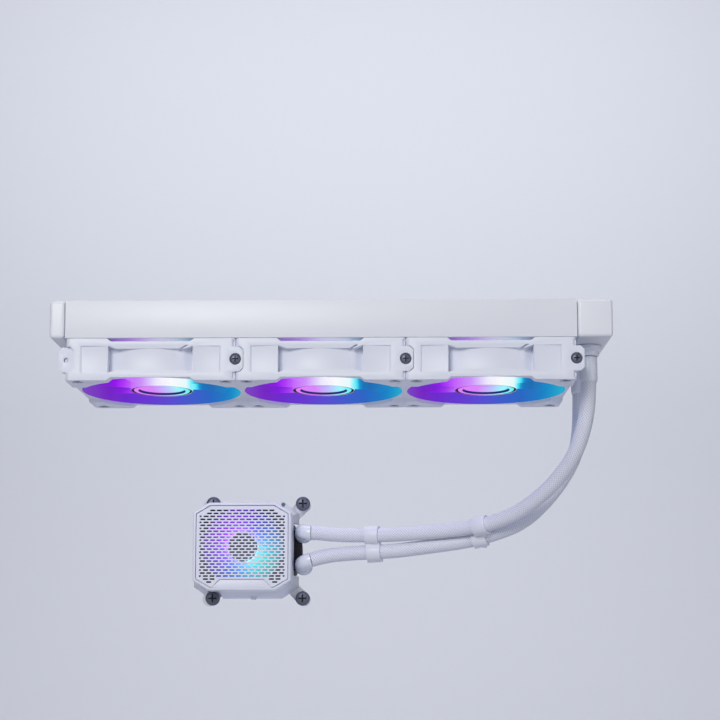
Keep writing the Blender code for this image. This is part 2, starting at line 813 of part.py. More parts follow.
def fan_frame_mesh():
    """The square frame: round bore, side windows, corner pads, motor carrier and link tabs."""
    half = FAN_SIZE / 2
    corner = half - FAN_CORNER
    outline = []
    for quarter, (x, y) in enumerate([(1, 1), (-1, 1), (-1, -1), (1, -1)]):
        start = 90 * quarter
        outline += arc(FAN_CORNER, start, start + 90, 2, x * corner, y * corner)
    spacing = SCREW_SPACING / 2
    holes = [circle(BORE_RADIUS, BORE_SIDES)]
    for x in (-spacing, spacing):
        for y in (-spacing, spacing):
            holes.append(circle(SCREW_HOLE, 8, x, y))
    frame = slab([outline, *holes], -FAN_DEPTH / 2, FAN_DEPTH / 2)
    windows = combined(
        four_sides(side_window), ("DIFFERENCE", cylinder(SHROUD_RADIUS, -half, half, BORE_SIDES))
    )
    pads = merged(four_sides(lambda: pad_gap(1)), four_sides(lambda: pad_gap(-1)))
    pocket = link_outline(TAB_REACH, MM, LINK_POCKET_GAP)
    lug_room = mirrored(link_outline(TAB_REACH, MM, LINK_POCKET_GAP))
    link_cuts = merged(
        link_layer(pocket, -half, -MM, TAB_THICKNESS + MM + GAP),
        link_layer(lug_room, half, TAB_THICKNESS, LUG_THICKNESS + 2 * GAP),
    )
    tab = link_layer(link_outline(TAB_REACH, TAB_ROOT, 0), half, 0, TAB_THICKNESS)
    lug = mirrored(link_outline(TAB_REACH, TAB_ROOT, 0))
    lug = link_layer(lug, -half, TAB_THICKNESS + GAP, LUG_THICKNESS)
    return combined(
        frame,
        ("DIFFERENCE", windows),
        ("DIFFERENCE", pads),
        ("DIFFERENCE", link_cuts),
        ("UNION", tab),
        ("UNION", lug),
        ("DIFFERENCE", merged(screw_well(half), screw_well(-half))),
        ("UNION", motor_carrier()),
    )


def blade_point(blade, across, along):
    """A point on a blade's middle surface: across from root to tip, along from edge to edge."""
    radius = BLADE_ROOT + across * (BLADE_TIP - BLADE_ROOT)
    sweep = math.radians(BLADE_SWEEP) * across ** 1.5
    span = math.radians(BLADE_SPAN - BLADE_SPAN_LOSS * across)
    angle = blade * 2 * math.pi / BLADE_COUNT + sweep + (along - 0.5) * span
    rise = BLADE_RISE - BLADE_RISE_LOSS * across
    camber = BLADE_CAMBER * math.sin(math.pi * along)
    height = BLADE_MIDDLE + (0.5 - along) * rise + camber
    return Vector((radius * math.cos(angle), radius * math.sin(angle), height))


def blade_set():
    """The blades as closed bodies."""
    shape = bmesh.new()
    for blade in range(BLADE_COUNT):
        rows = []
        for i in range(BLADE_STEPS):
            across = i / (BLADE_STEPS - 1)
            row = [
                shape.verts.new(blade_point(blade, across, j / (BLADE_STEPS - 1)))
                for j in range(BLADE_STEPS)
            ]
            rows.append(row)
        for low, high in zip(rows, rows[1:]):
            for i in range(BLADE_STEPS - 1):
                shape.faces.new((low[i], high[i], high[i + 1], low[i + 1]))
    mesh = bpy.data.meshes.new("blades")
    shape.to_mesh(mesh)
    shape.free()
    obj = guide("blades", mesh)
    solidify = obj.modifiers.new("thickness", "SOLIDIFY")
    solidify.thickness = BLADE_THICKNESS
    solidify.offset = 0
    return evaluated_mesh(obj)


def fan_rotor_mesh():
    """The hub cup with its blades."""
    inner = HUB_RADIUS - HUB_WALL
    profile = [
        (0, HUB_FLOOR + HUB_FLOOR_THICKNESS),
        (inner, HUB_FLOOR + HUB_FLOOR_THICKNESS),
        (inner, HUB_HIGH),
        (HUB_RADIUS, HUB_HIGH),
        (HUB_RADIUS, HUB_LOW),
        (HUB_RADIUS - HUB_LIP, HUB_LOW),
        (HUB_RADIUS - HUB_LIP, HUB_FLOOR),
        (0, HUB_FLOOR),
    ]
    return combined(turned(profile, HUB_SEGMENTS), ("UNION", blade_set()))


def hub_cap_mesh():
    """The light ring and dish in the hub's face."""
    outer = HUB_RADIUS - HUB_LIP - GAP
    profile = [
        (0, HUB_FLOOR - GAP),
        (outer, HUB_FLOOR - GAP),
        (outer, HUB_LOW + CAP_BEVEL),
        (outer - CAP_BEVEL, HUB_LOW),
        (DISH_RADIUS, HUB_LOW),
        (DISH_FLOOR_RADIUS, HUB_LOW + DISH_FLOOR),
        (DISH_MIDDLE_RADIUS, HUB_LOW + DISH_MIDDLE),
        (0, HUB_LOW + DISH_MIDDLE),
    ]
    return turned(profile, 20)


def stator_mesh():
    """The motor's coils around the bearing tube."""
    profile = [
        (SHAFT_HOLE, MOTOR_BASE_LOW - GAP),
        (STATOR_NECK, MOTOR_BASE_LOW - GAP),
        (STATOR_NECK, STATOR_HIGH),
        (STATOR_RADIUS, STATOR_HIGH),
        (STATOR_RADIUS, STATOR_LOW),
        (SHAFT_HOLE, STATOR_LOW),
    ]
    return turned(profile, 16, closed=True)


def light_board_mesh():
    """The ring board with the fan's lights."""
    high = MOTOR_BASE_LOW - GAP
    ring = [circle(LIGHT_BOARD_OUTER, 20), circle(LIGHT_BOARD_INNER, 12)]
    return slab(ring, high - LIGHT_BOARD_THICKNESS, high)


def shaft_mesh():
    low = HUB_FLOOR + HUB_FLOOR_THICKNESS + GAP
    return cylinder(SHAFT_RADIUS, low, MOTOR_BASE_HIGH - MM, 8)


def phillips(width, depth, top):
    """A cross-shaped recess, cut down from a height."""
    half = width / 2
    arm = width / RECESS_ARM_SHARE
    low = top - depth
    high = top + MM
    along = block((-half, -arm, low), (half, arm, high))
    across = block((-arm, -half, low), (arm, half, high))
    return combined(along, ("UNION", across))


def link_screw_mesh():
    """A round-headed cross screw, with its head's back at the origin and its head to +Z."""
    profile = [
        (0, LINK_HEAD),
        (LINK_HEAD_RADIUS - LINK_BEVEL, LINK_HEAD),
        (LINK_HEAD_RADIUS, LINK_HEAD - LINK_BEVEL),
        (LINK_HEAD_RADIUS, 0),
        (LINK_SHANK, 0),
        (LINK_SHANK, -LINK_LENGTH),
        (0, -LINK_LENGTH),
    ]
    return combined(turned(profile, 12), ("DIFFERENCE", phillips(*LINK_RECESS, LINK_HEAD)))


def make_fans():
    frame = fan_frame_mesh()
    rotor = fan_rotor_mesh()
    cap = hub_cap_mesh()
    stator = stator_mesh()
    board = light_board_mesh()
    shaft = shaft_mesh()
    screw = link_screw_mesh()
    for place, x in FAN_PLACES.items():
        centre = empty(f"fan_centre_{place}", (x, 0, FAN_MIDDLE_Z))
        smooth(part(f"fan_frame_{place}", frame.copy(), "white_plastic", centre))
        smooth(part(f"fan_rotor_{place}", rotor.copy(), "clear_white", centre))
        smooth(part(f"fan_hub_cap_{place}", cap.copy(), "clear_white", centre))
        smooth(part(f"fan_stator_{place}", stator.copy(), "black_plastic", centre))
        part(f"fan_light_board_{place}", board.copy(), "board", centre)
        smooth(part(f"fan_shaft_{place}", shaft.copy(), "steel", centre))
        link = part(f"link_screw_{place}", screw.copy(), "dark_steel", centre)
        link.rotation_euler = (math.radians(90), 0, 0)
        link.location = (FAN_SIZE / 2, -FAN_SIZE / 2 + LINK_HEAD - LINK_PROUD, 0)
        smooth(link)


# ---------------------------------------------------------------- hoses


def spline_points(route, per_span=12):
    """A smooth curve through a route's points."""
    points = [Vector(p) for p in route]
    padded = [2 * points[0] - points[1], *points, 2 * points[-1] - points[-2]]
    curve = []
    for before, start, end, after in zip(padded, padded[1:], padded[2:], padded[3:]):
        for step in range(per_span):
            t = step / per_span
            curve.append(
                0.5
                * (
                    2 * start
                    + (end - before) * t
                    + (2 * before - 5 * start + 4 * end - after) * t * t
                    + (3 * start - before - 3 * end + after) * t * t * t
                )
            )
    curve.append(points[-1])
    return curve


def evenly_spaced(curve, step):
    """Points at equal distances along a curve."""
    lengths = [0.0]
    for a, b in zip(curve, curve[1:]):
        lengths.append(lengths[-1] + (b - a).length)
    count = round(lengths[-1] / step)
    spaced = []
    at = 0
    for i in range(count + 1):
        target = min(lengths[-1] * i / count, lengths[-1])
        while at < len(lengths) - 2 and lengths[at + 1] < target:
            at += 1
        part_way = (target - lengths[at]) / (lengths[at + 1] - lengths[at])
        spaced.append(curve[at].lerp(curve[at + 1], part_way))
    return spaced


def place_on(line, x):
    """The point and direction where a hose's line crosses a given X."""
    for a, b in zip(line, line[1:]):
        if min(a.x, b.x) <= x <= max(a.x, b.x):
            share = (x - a.x) / (b.x - a.x)
            return a.lerp(b, share), (b - a).normalized()
    raise ValueError("the hose doesn't reach that place")


def aligned(direction, place):
    """Turns Z to a direction and moves to a place."""
    return Matrix.Translation(place) @ direction.to_track_quat("Z", "Y").to_matrix().to_4x4()


def sleeve(name, line):
    """The collar that covers a hose's end at the radiator."""
    direction = (line[1] - line[0]).normalized()
    profile = [
        (SLEEVE_INNER, 0),
        (SLEEVE_OUTER, 0),
        (SLEEVE_OUTER, -SLEEVE_LENGTH + SLEEVE_BEVEL_LENGTH),
        (SLEEVE_OUTER - SLEEVE_BEVEL, -SLEEVE_LENGTH),
        (SLEEVE_INNER, -SLEEVE_LENGTH),
    ]
    mesh = turned(profile, 16, closed=True)
    obj = part(name, mesh, "white_plastic", location=line[0] + SLEEVE_START * direction)
    obj.rotation_euler = (-direction).to_track_quat("Z", "Y").to_euler()
    return smooth(obj)


def hose_clip(name, x, lines):
    """Two rings side by side that hold both hoses."""
    places = [place_on(line, x) for line in lines]
    centre = (places[0][0] + places[1][0]) / 2
    direction = (places[0][1] + places[1][1]).normalized()
    half = CLIP_WIDTH / 2
    across = places[1][0] - places[0][0]
    across -= across.dot(direction) * direction
    length = across.length
    across.normalize()
    side = direction.cross(across)
    turn = Matrix((across, side, direction)).transposed().to_4x4()
    bridge = block((-length / 2, -CLIP_BRIDGE_HALF, -half), (length / 2, CLIP_BRIDGE_HALF, half))
    rings = []
    bores = []
    for sign, (place, own_direction) in zip((-1, 1), places):
        local_direction = turn.to_3x3().transposed() @ own_direction
        spot = aligned(local_direction, Vector((sign * length / 2, 0, 0)))
        rings.append(moved(cylinder(CLIP_OUTER, -half, half, 16), spot))
        bores.append(moved(cylinder(CLIP_INNER, -2 * half, 2 * half, 16), spot))
    mesh = combined(
        bridge,
        ("UNION", rings[0]),
        ("UNION", rings[1]),
        ("DIFFERENCE", bores[0]),
        ("DIFFERENCE", bores[1]),
    )
    obj = part(name, mesh, "white_plastic")
    obj.matrix_world = Matrix.Translation(centre) @ turn
    return smooth(obj)


def make_hoses():
    front = evenly_spaced(spline_points(FRONT_ROUTE), HOSE_STEP)
    rear = evenly_spaced(spline_points(REAR_ROUTE), HOSE_STEP)
    smooth(part("hose_front", tube(front, HOSE_RADIUS, 3), "white_braid"))
    smooth(part("hose_rear", tube(rear, HOSE_RADIUS, 3), "white_braid"))
    sleeve("hose_sleeve_front", front)
    sleeve("hose_sleeve_rear", rear)
    for name, x in CLIP_PLACES.items():
        hose_clip(name, x, (front, rear))


# ---------------------------------------------------------------- pump


def cap_outline(inset, growth=(0.0, 0.0), chamfer=CAP_CHAMFER):
    """The cap's eight-sided outline, drawn in or grown on every side."""
    width = CAP_WIDTH - 2 * inset + 2 * growth[0]
    height = CAP_HEIGHT - 2 * inset + 2 * growth[1]
    trim = CHAMFER_TRIM * inset
    return octagon(width, height, (chamfer[0] - trim, chamfer[1] - trim), *CAP_OFFSET)


def loft(lower, upper, low, high):
    """A closed body between two outlines with the same number of points."""
    shape = bmesh.new()
    bottom = [shape.verts.new((x, y, low)) for x, y in lower]
    top = [shape.verts.new((x, y, high)) for x, y in upper]
    count = len(bottom)
    shape.faces.new(list(reversed(bottom)))
    shape.faces.new(top)
    for i in range(count):
        following = (i + 1) % count
        shape.faces.new((bottom[i], bottom[following], top[following], top[i]))
    mesh = bpy.data.meshes.new("loft")
    shape.to_mesh(mesh)
    shape.free()
    return mesh


def screw_places():
    """The four mounting screws: the outer slot ends on the hose side, the inner ones opposite."""
    half = ARM_SPACING / 2
    inner = -half + ARM_SLOT
    return {
        "upper_left": (inner, half),
        "upper_right": (half, half),
        "lower_left": (inner, -half),
        "lower_right": (half, -half),
    }


def cold_plate_mesh():
    """The copper plate with its block of fine fins."""
    plate = rounded_outline(PLATE_HALF, PLATE_CORNER)
    base = slab([plate], 0, PLATE_THICKNESS)
    width = (MICROFIN_COUNT - 1) * MICROFIN_PITCH / 2
    outline = [(width + MICROFIN_HALF, -MM), (-width - MICROFIN_HALF, -MM)]
    for i in range(MICROFIN_COUNT):
        x = -width + i * MICROFIN_PITCH
        outline += [(x - MICROFIN_HALF, 0), (x - MICROFIN_HALF, MICROFIN_HEIGHT)]
        outline += [(x + MICROFIN_HALF, MICROFIN_HEIGHT), (x + MICROFIN_HALF, 0)]
    fins = slab([outline], -MICROFIN_REACH, MICROFIN_REACH)
    fins = moved(fins, Z_TO_MINUS_Y)
    fins = moved(fins, Matrix.Translation((0, 0, PLATE_THICKNESS)))
    return combined(base, ("UNION", fins))


def rounded_outline(half, radius):
    outline = []
    corner = half - radius
    for quarter, (x, y) in enumerate([(1, 1), (-1, 1), (-1, -1), (1, -1)]):
        outline += arc(radius, 90 * quarter, 90 * quarter + 90, 3, x * corner, y * corner)
    return outline


def pump_base_mesh():
    """The pump body: impeller chamber behind, motor room in front, and the block for the hoses."""
    profile = [
        (0, CAN_TOP),
        (CAN_OUTER, CAN_TOP),
        (CAN_OUTER, MOTOR_FLOOR),
        (BASE_RADIUS - BASE_WALL, MOTOR_FLOOR),
        (BASE_RADIUS - BASE_WALL, BASE_FRONT),
        (BASE_RADIUS, BASE_FRONT),
        (BASE_RADIUS, BASE_BACK),
        (CHAMBER_RADIUS, BASE_BACK),
        (CHAMBER_RADIUS, CHAMBER_TOP),
        (CAN_INNER, CHAMBER_TOP),
        (CAN_INNER, CAN_ROOM_TOP),
        (0, CAN_ROOM_TOP),
    ]
    low = (BLOCK_LEFT, ELBOW_HEIGHTS["lower"] - BLOCK_MARGIN, HOUSING_BACK)
    high_y = ELBOW_HEIGHTS["upper"] + BLOCK_MARGIN
    high = (ELBOW_X + BLOCK_RIGHT_MARGIN, high_y, ELBOW_BASE - GAP)
    return combined(turned(profile, 28), ("UNION", block(low, high)))


def bracket_mesh():
    """The ring around the pump with four slotted arms."""
    low = BRACKET_BACK
    high = BRACKET_BACK + BRACKET_THICKNESS
    ring = slab([circle(BRACKET_RING, 28), circle(BASE_RADIUS + BRACKET_CLEARANCE, 28)], low, high)
    steps = []
    slots = []
    tip = ARM_SPACING / 2
    for x_side in (-1, 1):
        for y_side in (-1, 1):
            direction = math.degrees(math.atan2(y_side, x_side))
            turn = Matrix.Rotation(math.radians(direction), 2)
            start = turn @ Vector((BRACKET_RING - ARM_OVERLAP, 0))
            sideways = turn @ Vector((0, ARM_HALF_WIDTH))
            end = Vector((x_side * tip, y_side * tip))
            outline = [tuple(start - sideways)]
            start_angle = direction - ARM_TIP_ANGLE
            outline += arc(ARM_TIP, start_angle, direction + ARM_TIP_ANGLE, 5, end.x, end.y)
            outline.append(tuple(start + sideways))
            steps.append(("UNION", slab([outline], low, high)))
            hole = MOUNT_SHANK + ARM_SLOT_CLEARANCE
            outer = x_side * tip
            inner = x_side * (tip - ARM_SLOT)
            left = min(outer, inner)
            right = max(outer, inner)
            slot = arc(hole, 90, 270, 3, left, y_side * tip)
            slot += arc(hole, -90, 90, 3, right, y_side * tip)
            slots.append(slab([slot], low - MM, high + MM))
    return combined(ring, *steps, ("DIFFERENCE", merged(*slots)))


def housing_mesh():
    """The flared skirt between bracket and cap, open for the elbows and the screws."""
    skirt = cap_outline(0, HOUSING_GROWTH, HOUSING_CHAMFER)
    outer = loft(skirt, cap_outline(0), HOUSING_BACK, HOUSING_FRONT)
    skirt = cap_outline(HOUSING_WALL, HOUSING_GROWTH, HOUSING_CHAMFER)
    collar = cap_outline(HOUSING_WALL)
    inner = loft(skirt, collar, HOUSING_BACK - MM, HOUSING_FRONT + MM)
    side = CAP_OFFSET[0] + CAP_WIDTH / 2
    notch_low = (side - NOTCH_INWARD, ELBOW_HEIGHTS["lower"] - NOTCH_MARGIN)
    notch_high = (side + NOTCH_OUTWARD, ELBOW_HEIGHTS["upper"] + NOTCH_MARGIN)
    notch = block((*notch_low, HOUSING_BACK - MM), (*notch_high, HOUSING_FRONT - NOTCH_TOP))
    wells = []
    for x, y in screw_places().values():
        wells.append(cylinder(MOUNT_CLEARANCE, HOUSING_BACK - MM, HOUSING_FRONT + MM, 20, x, y))
    return combined(
        outer,
        ("DIFFERENCE", inner),
        ("DIFFERENCE", notch),
        ("DIFFERENCE", merged(*wells)),
    )


def cap_mesh():
    """The cap's straight shell, open behind, with a seat for the grille in front."""
    outer = slab([cap_outline(0)], CAP_BACK, CAP_FRONT)
    room = slab([cap_outline(CAP_WALL)], CAP_BACK - MM, CAP_FRONT - ROOM_TOP)
    opening = [cap_outline(CAP_WALL + SEAT_LEDGE)]
    window = slab(opening, CAP_FRONT - WINDOW_BOTTOM, CAP_FRONT - WINDOW_TOP)
    seat = slab([cap_outline(CAP_WALL)], CAP_FRONT - SEAT_DEPTH, CAP_FRONT + MM)
    return combined(
        outer, ("DIFFERENCE", room), ("DIFFERENCE", window), ("DIFFERENCE", seat)
    )


def nameplate_outline(spare=0.0):
    """A blank trapezoid at the grille's lower edge."""
    x, y = CAP_OFFSET
    top = y + PLATE_TOP + spare
    low = y + PLATE_LOW - spare
    return [
        (x - PLATE_LOW_HALF - spare, low),
        (x + PLATE_LOW_HALF + spare, low),
        (x + PLATE_TOP_HALF + spare, top),
        (x - PLATE_TOP_HALF - spare, top),
    ]


def grille_mesh():
    """The front grille: rows of slots that shift from row to row, above the nameplate's place."""
    x, y = CAP_OFFSET
    high = CAP_FRONT - PANEL_FRONT
    slots = []
    for row in range(GRILLE_ROWS):
        middle = y + GRILLE_FIRST_ROW - row * GRILLE_PITCH
        half = GRILLE_HALF - max(0, 1 - row) * GRILLE_FIRST_ROW_LOSS
        pieces = 2
        length = 2 * half / pieces
        for i in range(pieces):
            left = x - half + i * length + GRILLE_BAR / 2
            right = left + length - GRILLE_BAR
            low_corner = (left, middle - GRILLE_SLOT / 2)
            slots.append(rectangle(low_corner, (right, middle + GRILLE_SLOT / 2)))
    return slab([cap_outline(CAP_WALL + GAP), *slots], CAP_FRONT - PANEL_BACK, high)


def diffuser_mesh():
    """The ring that spreads the light behind the grille."""
    x, y = CAP_OFFSET
    ring = [circle(DIFFUSER_OUTER, 28, x, y), circle(DIFFUSER_INNER, 20, x, y)]
    return slab(ring, DIFFUSER_BACK, DIFFUSER_FRONT)


def led_board_mesh():
    return slab([cap_outline(CAP_WALL + BOARD_GAP)], BOARD_BACK, BOARD_FRONT)


def pump_stator_mesh():
    profile = [
        (CAN_OUTER + COIL_GAP, COIL_FRONT),
        (COIL_OUTER, COIL_FRONT),
        (COIL_OUTER, COIL_BACK),
        (CAN_OUTER + COIL_GAP, COIL_BACK),
    ]
    return turned(profile, 20, closed=True)


def impeller_mesh():
    """The impeller disc with its vanes and its magnet stem, about the pump's axis."""
    profile = [
        (0, MAGNET_FRONT),
        (MAGNET_RADIUS, MAGNET_FRONT),
        (MAGNET_RADIUS, DISC_FRONT),
        (DISC_RADIUS, DISC_FRONT),
        (DISC_RADIUS, DISC_BACK),
        (0, DISC_BACK),
    ]
    vanes = []
    for i in range(VANE_COUNT):
        turn = Matrix.Rotation(2 * math.pi * i / VANE_COUNT, 4, "Z")
        vanes.append(moved(block(VANE_LOW, VANE_HIGH), turn))
    return combined(turned(profile, 20), ("UNION", merged(*vanes)))


def elbow_mesh(height, end):
    """A bent tube from the pump body, forward and then towards the hose's end."""
    aim = math.atan2(end.z - height[1], end.x - height[0])
    forward = ELBOW_TOP
    points = [Vector((0, 0, ELBOW_BASE))]
    turn = Matrix.Rotation(aim, 4, "Z")
    for i in range(ELBOW_STEPS + 1):
        angle = math.radians(90 * i / ELBOW_STEPS)
        out = ELBOW_BEND * (1 - math.cos(angle))
        rise = forward - ELBOW_BEND * (1 - math.sin(angle))
        points.append(turn @ Vector((out, 0, rise)))
    pipe = tube(points, ELBOW_RADIUS, 3)
    collar = cylinder(ELBOW_RADIUS + ELBOW_COLLAR, ELBOW_BASE, ELBOW_BASE + ELBOW_COLLAR_LENGTH, 24)
    return combined(pipe, ("UNION", collar))


def mount_screw_mesh():
    """A mounting screw about its own axis, from its thread's end to its cross-slotted head."""
    profile = [
        (0, MOUNT_HEAD_FRONT),
        (MOUNT_HEAD_RADIUS - MOUNT_BEVEL, MOUNT_HEAD_FRONT),
        (MOUNT_HEAD_RADIUS, MOUNT_HEAD_FRONT - MOUNT_BEVEL),
        (MOUNT_HEAD_RADIUS, MOUNT_HEAD_BACK),
        (MOUNT_SHANK, MOUNT_HEAD_BACK),
        (MOUNT_SHANK, MOUNT_END + MOUNT_BEVEL),
        (MOUNT_SHANK - MOUNT_BEVEL, MOUNT_END),
        (0, MOUNT_END),
    ]
    recess = phillips(*MOUNT_RECESS, MOUNT_HEAD_FRONT)
    return combined(turned(profile, 12), ("DIFFERENCE", recess))


def spring_mesh():
    """The pressed spring between a bracket arm and a screw's head."""
    low = BRACKET_BACK + BRACKET_THICKNESS + GAP + SPRING_WIRE
    high = MOUNT_HEAD_BACK - GAP - SPRING_WIRE
    count = SPRING_TURNS * SPRING_SIDES
    points = []
    for i in range(count + 1):
        angle = 2 * math.pi * i / SPRING_SIDES
        height = low + (high - low) * i / count
        points.append((SPRING_RADIUS * math.cos(angle), SPRING_RADIUS * math.sin(angle), height))
    return tube(points, SPRING_WIRE, 1)


def cable_gland_mesh():
    """The stub on the housing's upper right bevel where the pump's cable comes out."""
    stub = cylinder(GLAND_RADIUS, GAP, GLAND_LENGTH, 12)
    x, y, z = GLAND_PLACE
    place = Vector((CAP_OFFSET[0] + x, CAP_OFFSET[1] + y, z))
    return moved(stub, aligned(Vector(GLAND_DIRECTION).normalized(), place))


def make_pump():
    facing = (math.radians(90), 0, 0)
    centre = empty("pump_centre", (PUMP_X, CONTACT_Y, PUMP_Z), facing)
    part("cold_plate", cold_plate_mesh(), "copper", centre)
    gasket = slab([circle(SEAL_OUTER, 32), circle(SEAL_INNER, 32)], SEAL_BACK, SEAL_FRONT)
    part("seal_ring", gasket, "rubber", centre)
    smooth(part("pump_base", pump_base_mesh(), "black_plastic", centre))
    smooth(part("mounting_bracket", bracket_mesh(), "white_metal", centre))
    part("pump_housing", housing_mesh(), "white_plastic", centre)
    part("pump_cap", cap_mesh(), "white_plastic", centre)
    part("cap_grille", grille_mesh(), "white_plastic", centre)
    plate_low = CAP_FRONT - PANEL_FRONT + GAP
    plate = slab([nameplate_outline()], plate_low, plate_low + PLATE_DEPTH)
    part("nameplate", plate, "white_plastic", centre)
    smooth(part("light_diffuser", diffuser_mesh(), "clear_white", centre))
    part("led_board", led_board_mesh(), "board", centre)
    smooth(part("pump_stator", pump_stator_mesh(), "steel", centre))
    smooth(part("impeller", impeller_mesh(), "black_plastic", centre))
    smooth(part("cable_gland", cable_gland_mesh(), "rubber", centre))
    ends = {"upper": Vector(FRONT_ROUTE[-1]), "lower": Vector(REAR_ROUTE[-1])}
    for level, height in ELBOW_HEIGHTS.items():
        post = (PUMP_X + ELBOW_X, PUMP_Z + height)
        elbow = part(f"elbow_{level}", elbow_mesh(post, ends[level]), "white_plastic", centre)
        elbow.location = (ELBOW_X, height, 0)
        smooth(elbow)
    screw = mount_screw_mesh()
    spring = spring_mesh()
    for corner, (x, y) in screw_places().items():
        for name, mesh, finish in (
            ("mount_screw", screw, "dark_steel"),
            ("screw_spring", spring, "steel"),
        ):
            smooth(part(f"{name}_{corner}", mesh.copy(), finish, centre, (x, y, 0)))


def main():
    start_scene()
    side_rail("side_rail_front", -1)
    side_rail("side_rail_rear", 1)
    end_tank("end_tank_ports", CORE_END, RADIATOR_RIGHT, True)
    end_tank("end_tank_return", -CORE_END, RADIATOR_LEFT, False)
    tube_bank()
    fin_pack()
    port_fitting("port_fitting_front", -PORT_Y)
    port_fitting("port_fitting_rear", PORT_Y)
    fill_plug()
    make_fans()
    make_hoses()
    make_pump()


main()
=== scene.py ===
import math

import bmesh
import bpy
import numpy as np
from mathutils import Matrix, Vector


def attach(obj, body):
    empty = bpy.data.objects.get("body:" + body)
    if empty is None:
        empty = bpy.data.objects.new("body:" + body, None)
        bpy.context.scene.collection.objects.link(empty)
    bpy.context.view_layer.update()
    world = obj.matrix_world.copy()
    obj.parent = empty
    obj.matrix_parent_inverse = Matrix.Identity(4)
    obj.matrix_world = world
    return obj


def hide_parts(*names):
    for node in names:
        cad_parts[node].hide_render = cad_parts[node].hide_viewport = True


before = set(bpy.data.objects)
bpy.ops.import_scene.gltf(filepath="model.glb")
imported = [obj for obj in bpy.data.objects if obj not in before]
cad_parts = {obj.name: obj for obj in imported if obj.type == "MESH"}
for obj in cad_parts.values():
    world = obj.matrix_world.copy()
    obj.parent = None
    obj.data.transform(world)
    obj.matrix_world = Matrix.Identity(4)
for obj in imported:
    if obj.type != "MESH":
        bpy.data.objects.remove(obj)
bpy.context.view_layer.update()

MM = 0.001
FAN_SIZE = 0.12
FANS = {"left": -FAN_SIZE, "middle": 0.0, "right": FAN_SIZE}
FAN_Z = -0.0423
STRANDS = 16
CUT = "DIFFERENCE"
ADD = "UNION"

def offset(x, y, z):
    return Matrix.Translation((x, y, z))

def rotation(degrees, axis):
    return Matrix.Rotation(math.radians(degrees), 4, axis)

TO_MINUS_Y = rotation(90, "X")
# The pump's own frame has X to the right, Y up and Z to the front
PUMP = offset(-0.0574, 0.117, -0.1666) @ TO_MINUS_Y
CAP_X = -8.1 * MM
CAP_Y = 1.6 * MM

# The hoses run from the radiator's fittings to the pump's elbows
FRONT_ROUTE = [
    (0.1925, -0.0250, -0.0356),
    (0.1925, -0.0250, -0.0460),
    (0.1923, -0.0248, -0.0570),
    (0.1913, -0.0225, -0.0735),
    (0.1885, -0.0175, -0.0885),
    (0.1836, -0.0095, -0.1030),
    (0.1752, 0.0010, -0.1165),
    (0.1619, 0.0140, -0.1305),
    (0.1435, 0.0290, -0.1430),
    (0.1240, 0.0415, -0.1498),
    (0.1050, 0.0505, -0.1526),
    (0.0800, 0.0595, -0.1546),
    (0.0500, 0.0680, -0.1559),
    (0.0230, 0.0745, -0.1558),
    (0.0050, 0.0783, -0.1548),
    (-0.0060, 0.0799, -0.1536),
    (-0.0124, 0.0800, -0.1535),
]
REAR_ROUTE = [
    (0.1925, 0.0250, -0.0356),
    (0.1925, 0.0250, -0.0460),
    (0.1924, 0.0252, -0.0600),
    (0.1915, 0.0268, -0.0820),
    (0.1875, 0.0300, -0.1010),
    (0.1764, 0.0360, -0.1210),
    (0.1610, 0.0435, -0.1390),
    (0.1450, 0.0475, -0.1505),
    (0.1220, 0.0545, -0.1585),
    (0.1030, 0.0603, -0.1623),
    (0.0800, 0.0660, -0.1652),
    (0.0520, 0.0725, -0.1682),
    (0.0230, 0.0773, -0.1695),
    (0.0050, 0.0793, -0.1709),
    (-0.0060, 0.0800, -0.1729),
    (-0.0123, 0.0800, -0.1746),
]

# ---------------------------------------------------------------- mesh tools

def scratch(mesh):
    obj = bpy.data.objects.new("scratch", mesh)
    bpy.context.scene.collection.objects.link(obj)
    return obj

def opened(mesh):
    shape = bmesh.new()
    shape.from_mesh(mesh)
    return shape

def made(shape, mesh=None):
    """Writes a bmesh into a mesh, a new one by default, and frees it."""
    if mesh is None:
        mesh = bpy.data.meshes.new("shape")
    shape.to_mesh(mesh)
    shape.free()
    return mesh

def taken(obj, weld=0.000001):
    """The mesh that an object shows, welded; the object is removed."""
    bpy.context.view_layer.update()
    depsgraph = bpy.context.evaluated_depsgraph_get()
    mesh = bpy.data.meshes.new_from_object(obj.evaluated_get(depsgraph), depsgraph=depsgraph)
    shape = opened(mesh)
    bmesh.ops.remove_doubles(shape, verts=shape.verts, dist=weld)
    bmesh.ops.recalc_face_normals(shape, faces=shape.faces)
    bpy.data.objects.remove(obj, do_unlink=True)
    return made(shape, mesh)

def combined(base, *steps):
    body = scratch(base)
    tools = []
    for operation, mesh in steps:
        tool = scratch(mesh)
        modifier = body.modifiers.new(operation, "BOOLEAN")
        modifier.operation = operation
        modifier.solver = "EXACT"
        modifier.object = tool
        tools.append(tool)
    mesh = taken(body)
    for tool in tools:
        bpy.data.objects.remove(tool, do_unlink=True)
    return mesh

def merged(*meshes):
    shape = bmesh.new()
    for mesh in meshes:
        shape.from_mesh(mesh)
    return made(shape)

def moved(mesh, matrix):
    mesh.transform(matrix)
    return mesh

def soft_edges(mesh, width, segments=2, angle=38):
    """Rounds a mesh's sharp edges."""
    shape = opened(mesh)
    bmesh.ops.dissolve_limit(shape, angle_limit=math.radians(1), verts=shape.verts, edges=shape.edges)
    obj = scratch(made(shape, mesh))
    bevel = obj.modifiers.new("round", "BEVEL")
    bevel.width = width
    bevel.segments = segments
    bevel.limit_method = "ANGLE"
    bevel.angle_limit = math.radians(angle)
    bevel.miter_outer = "MITER_ARC"
    return taken(obj, 0.0000005)

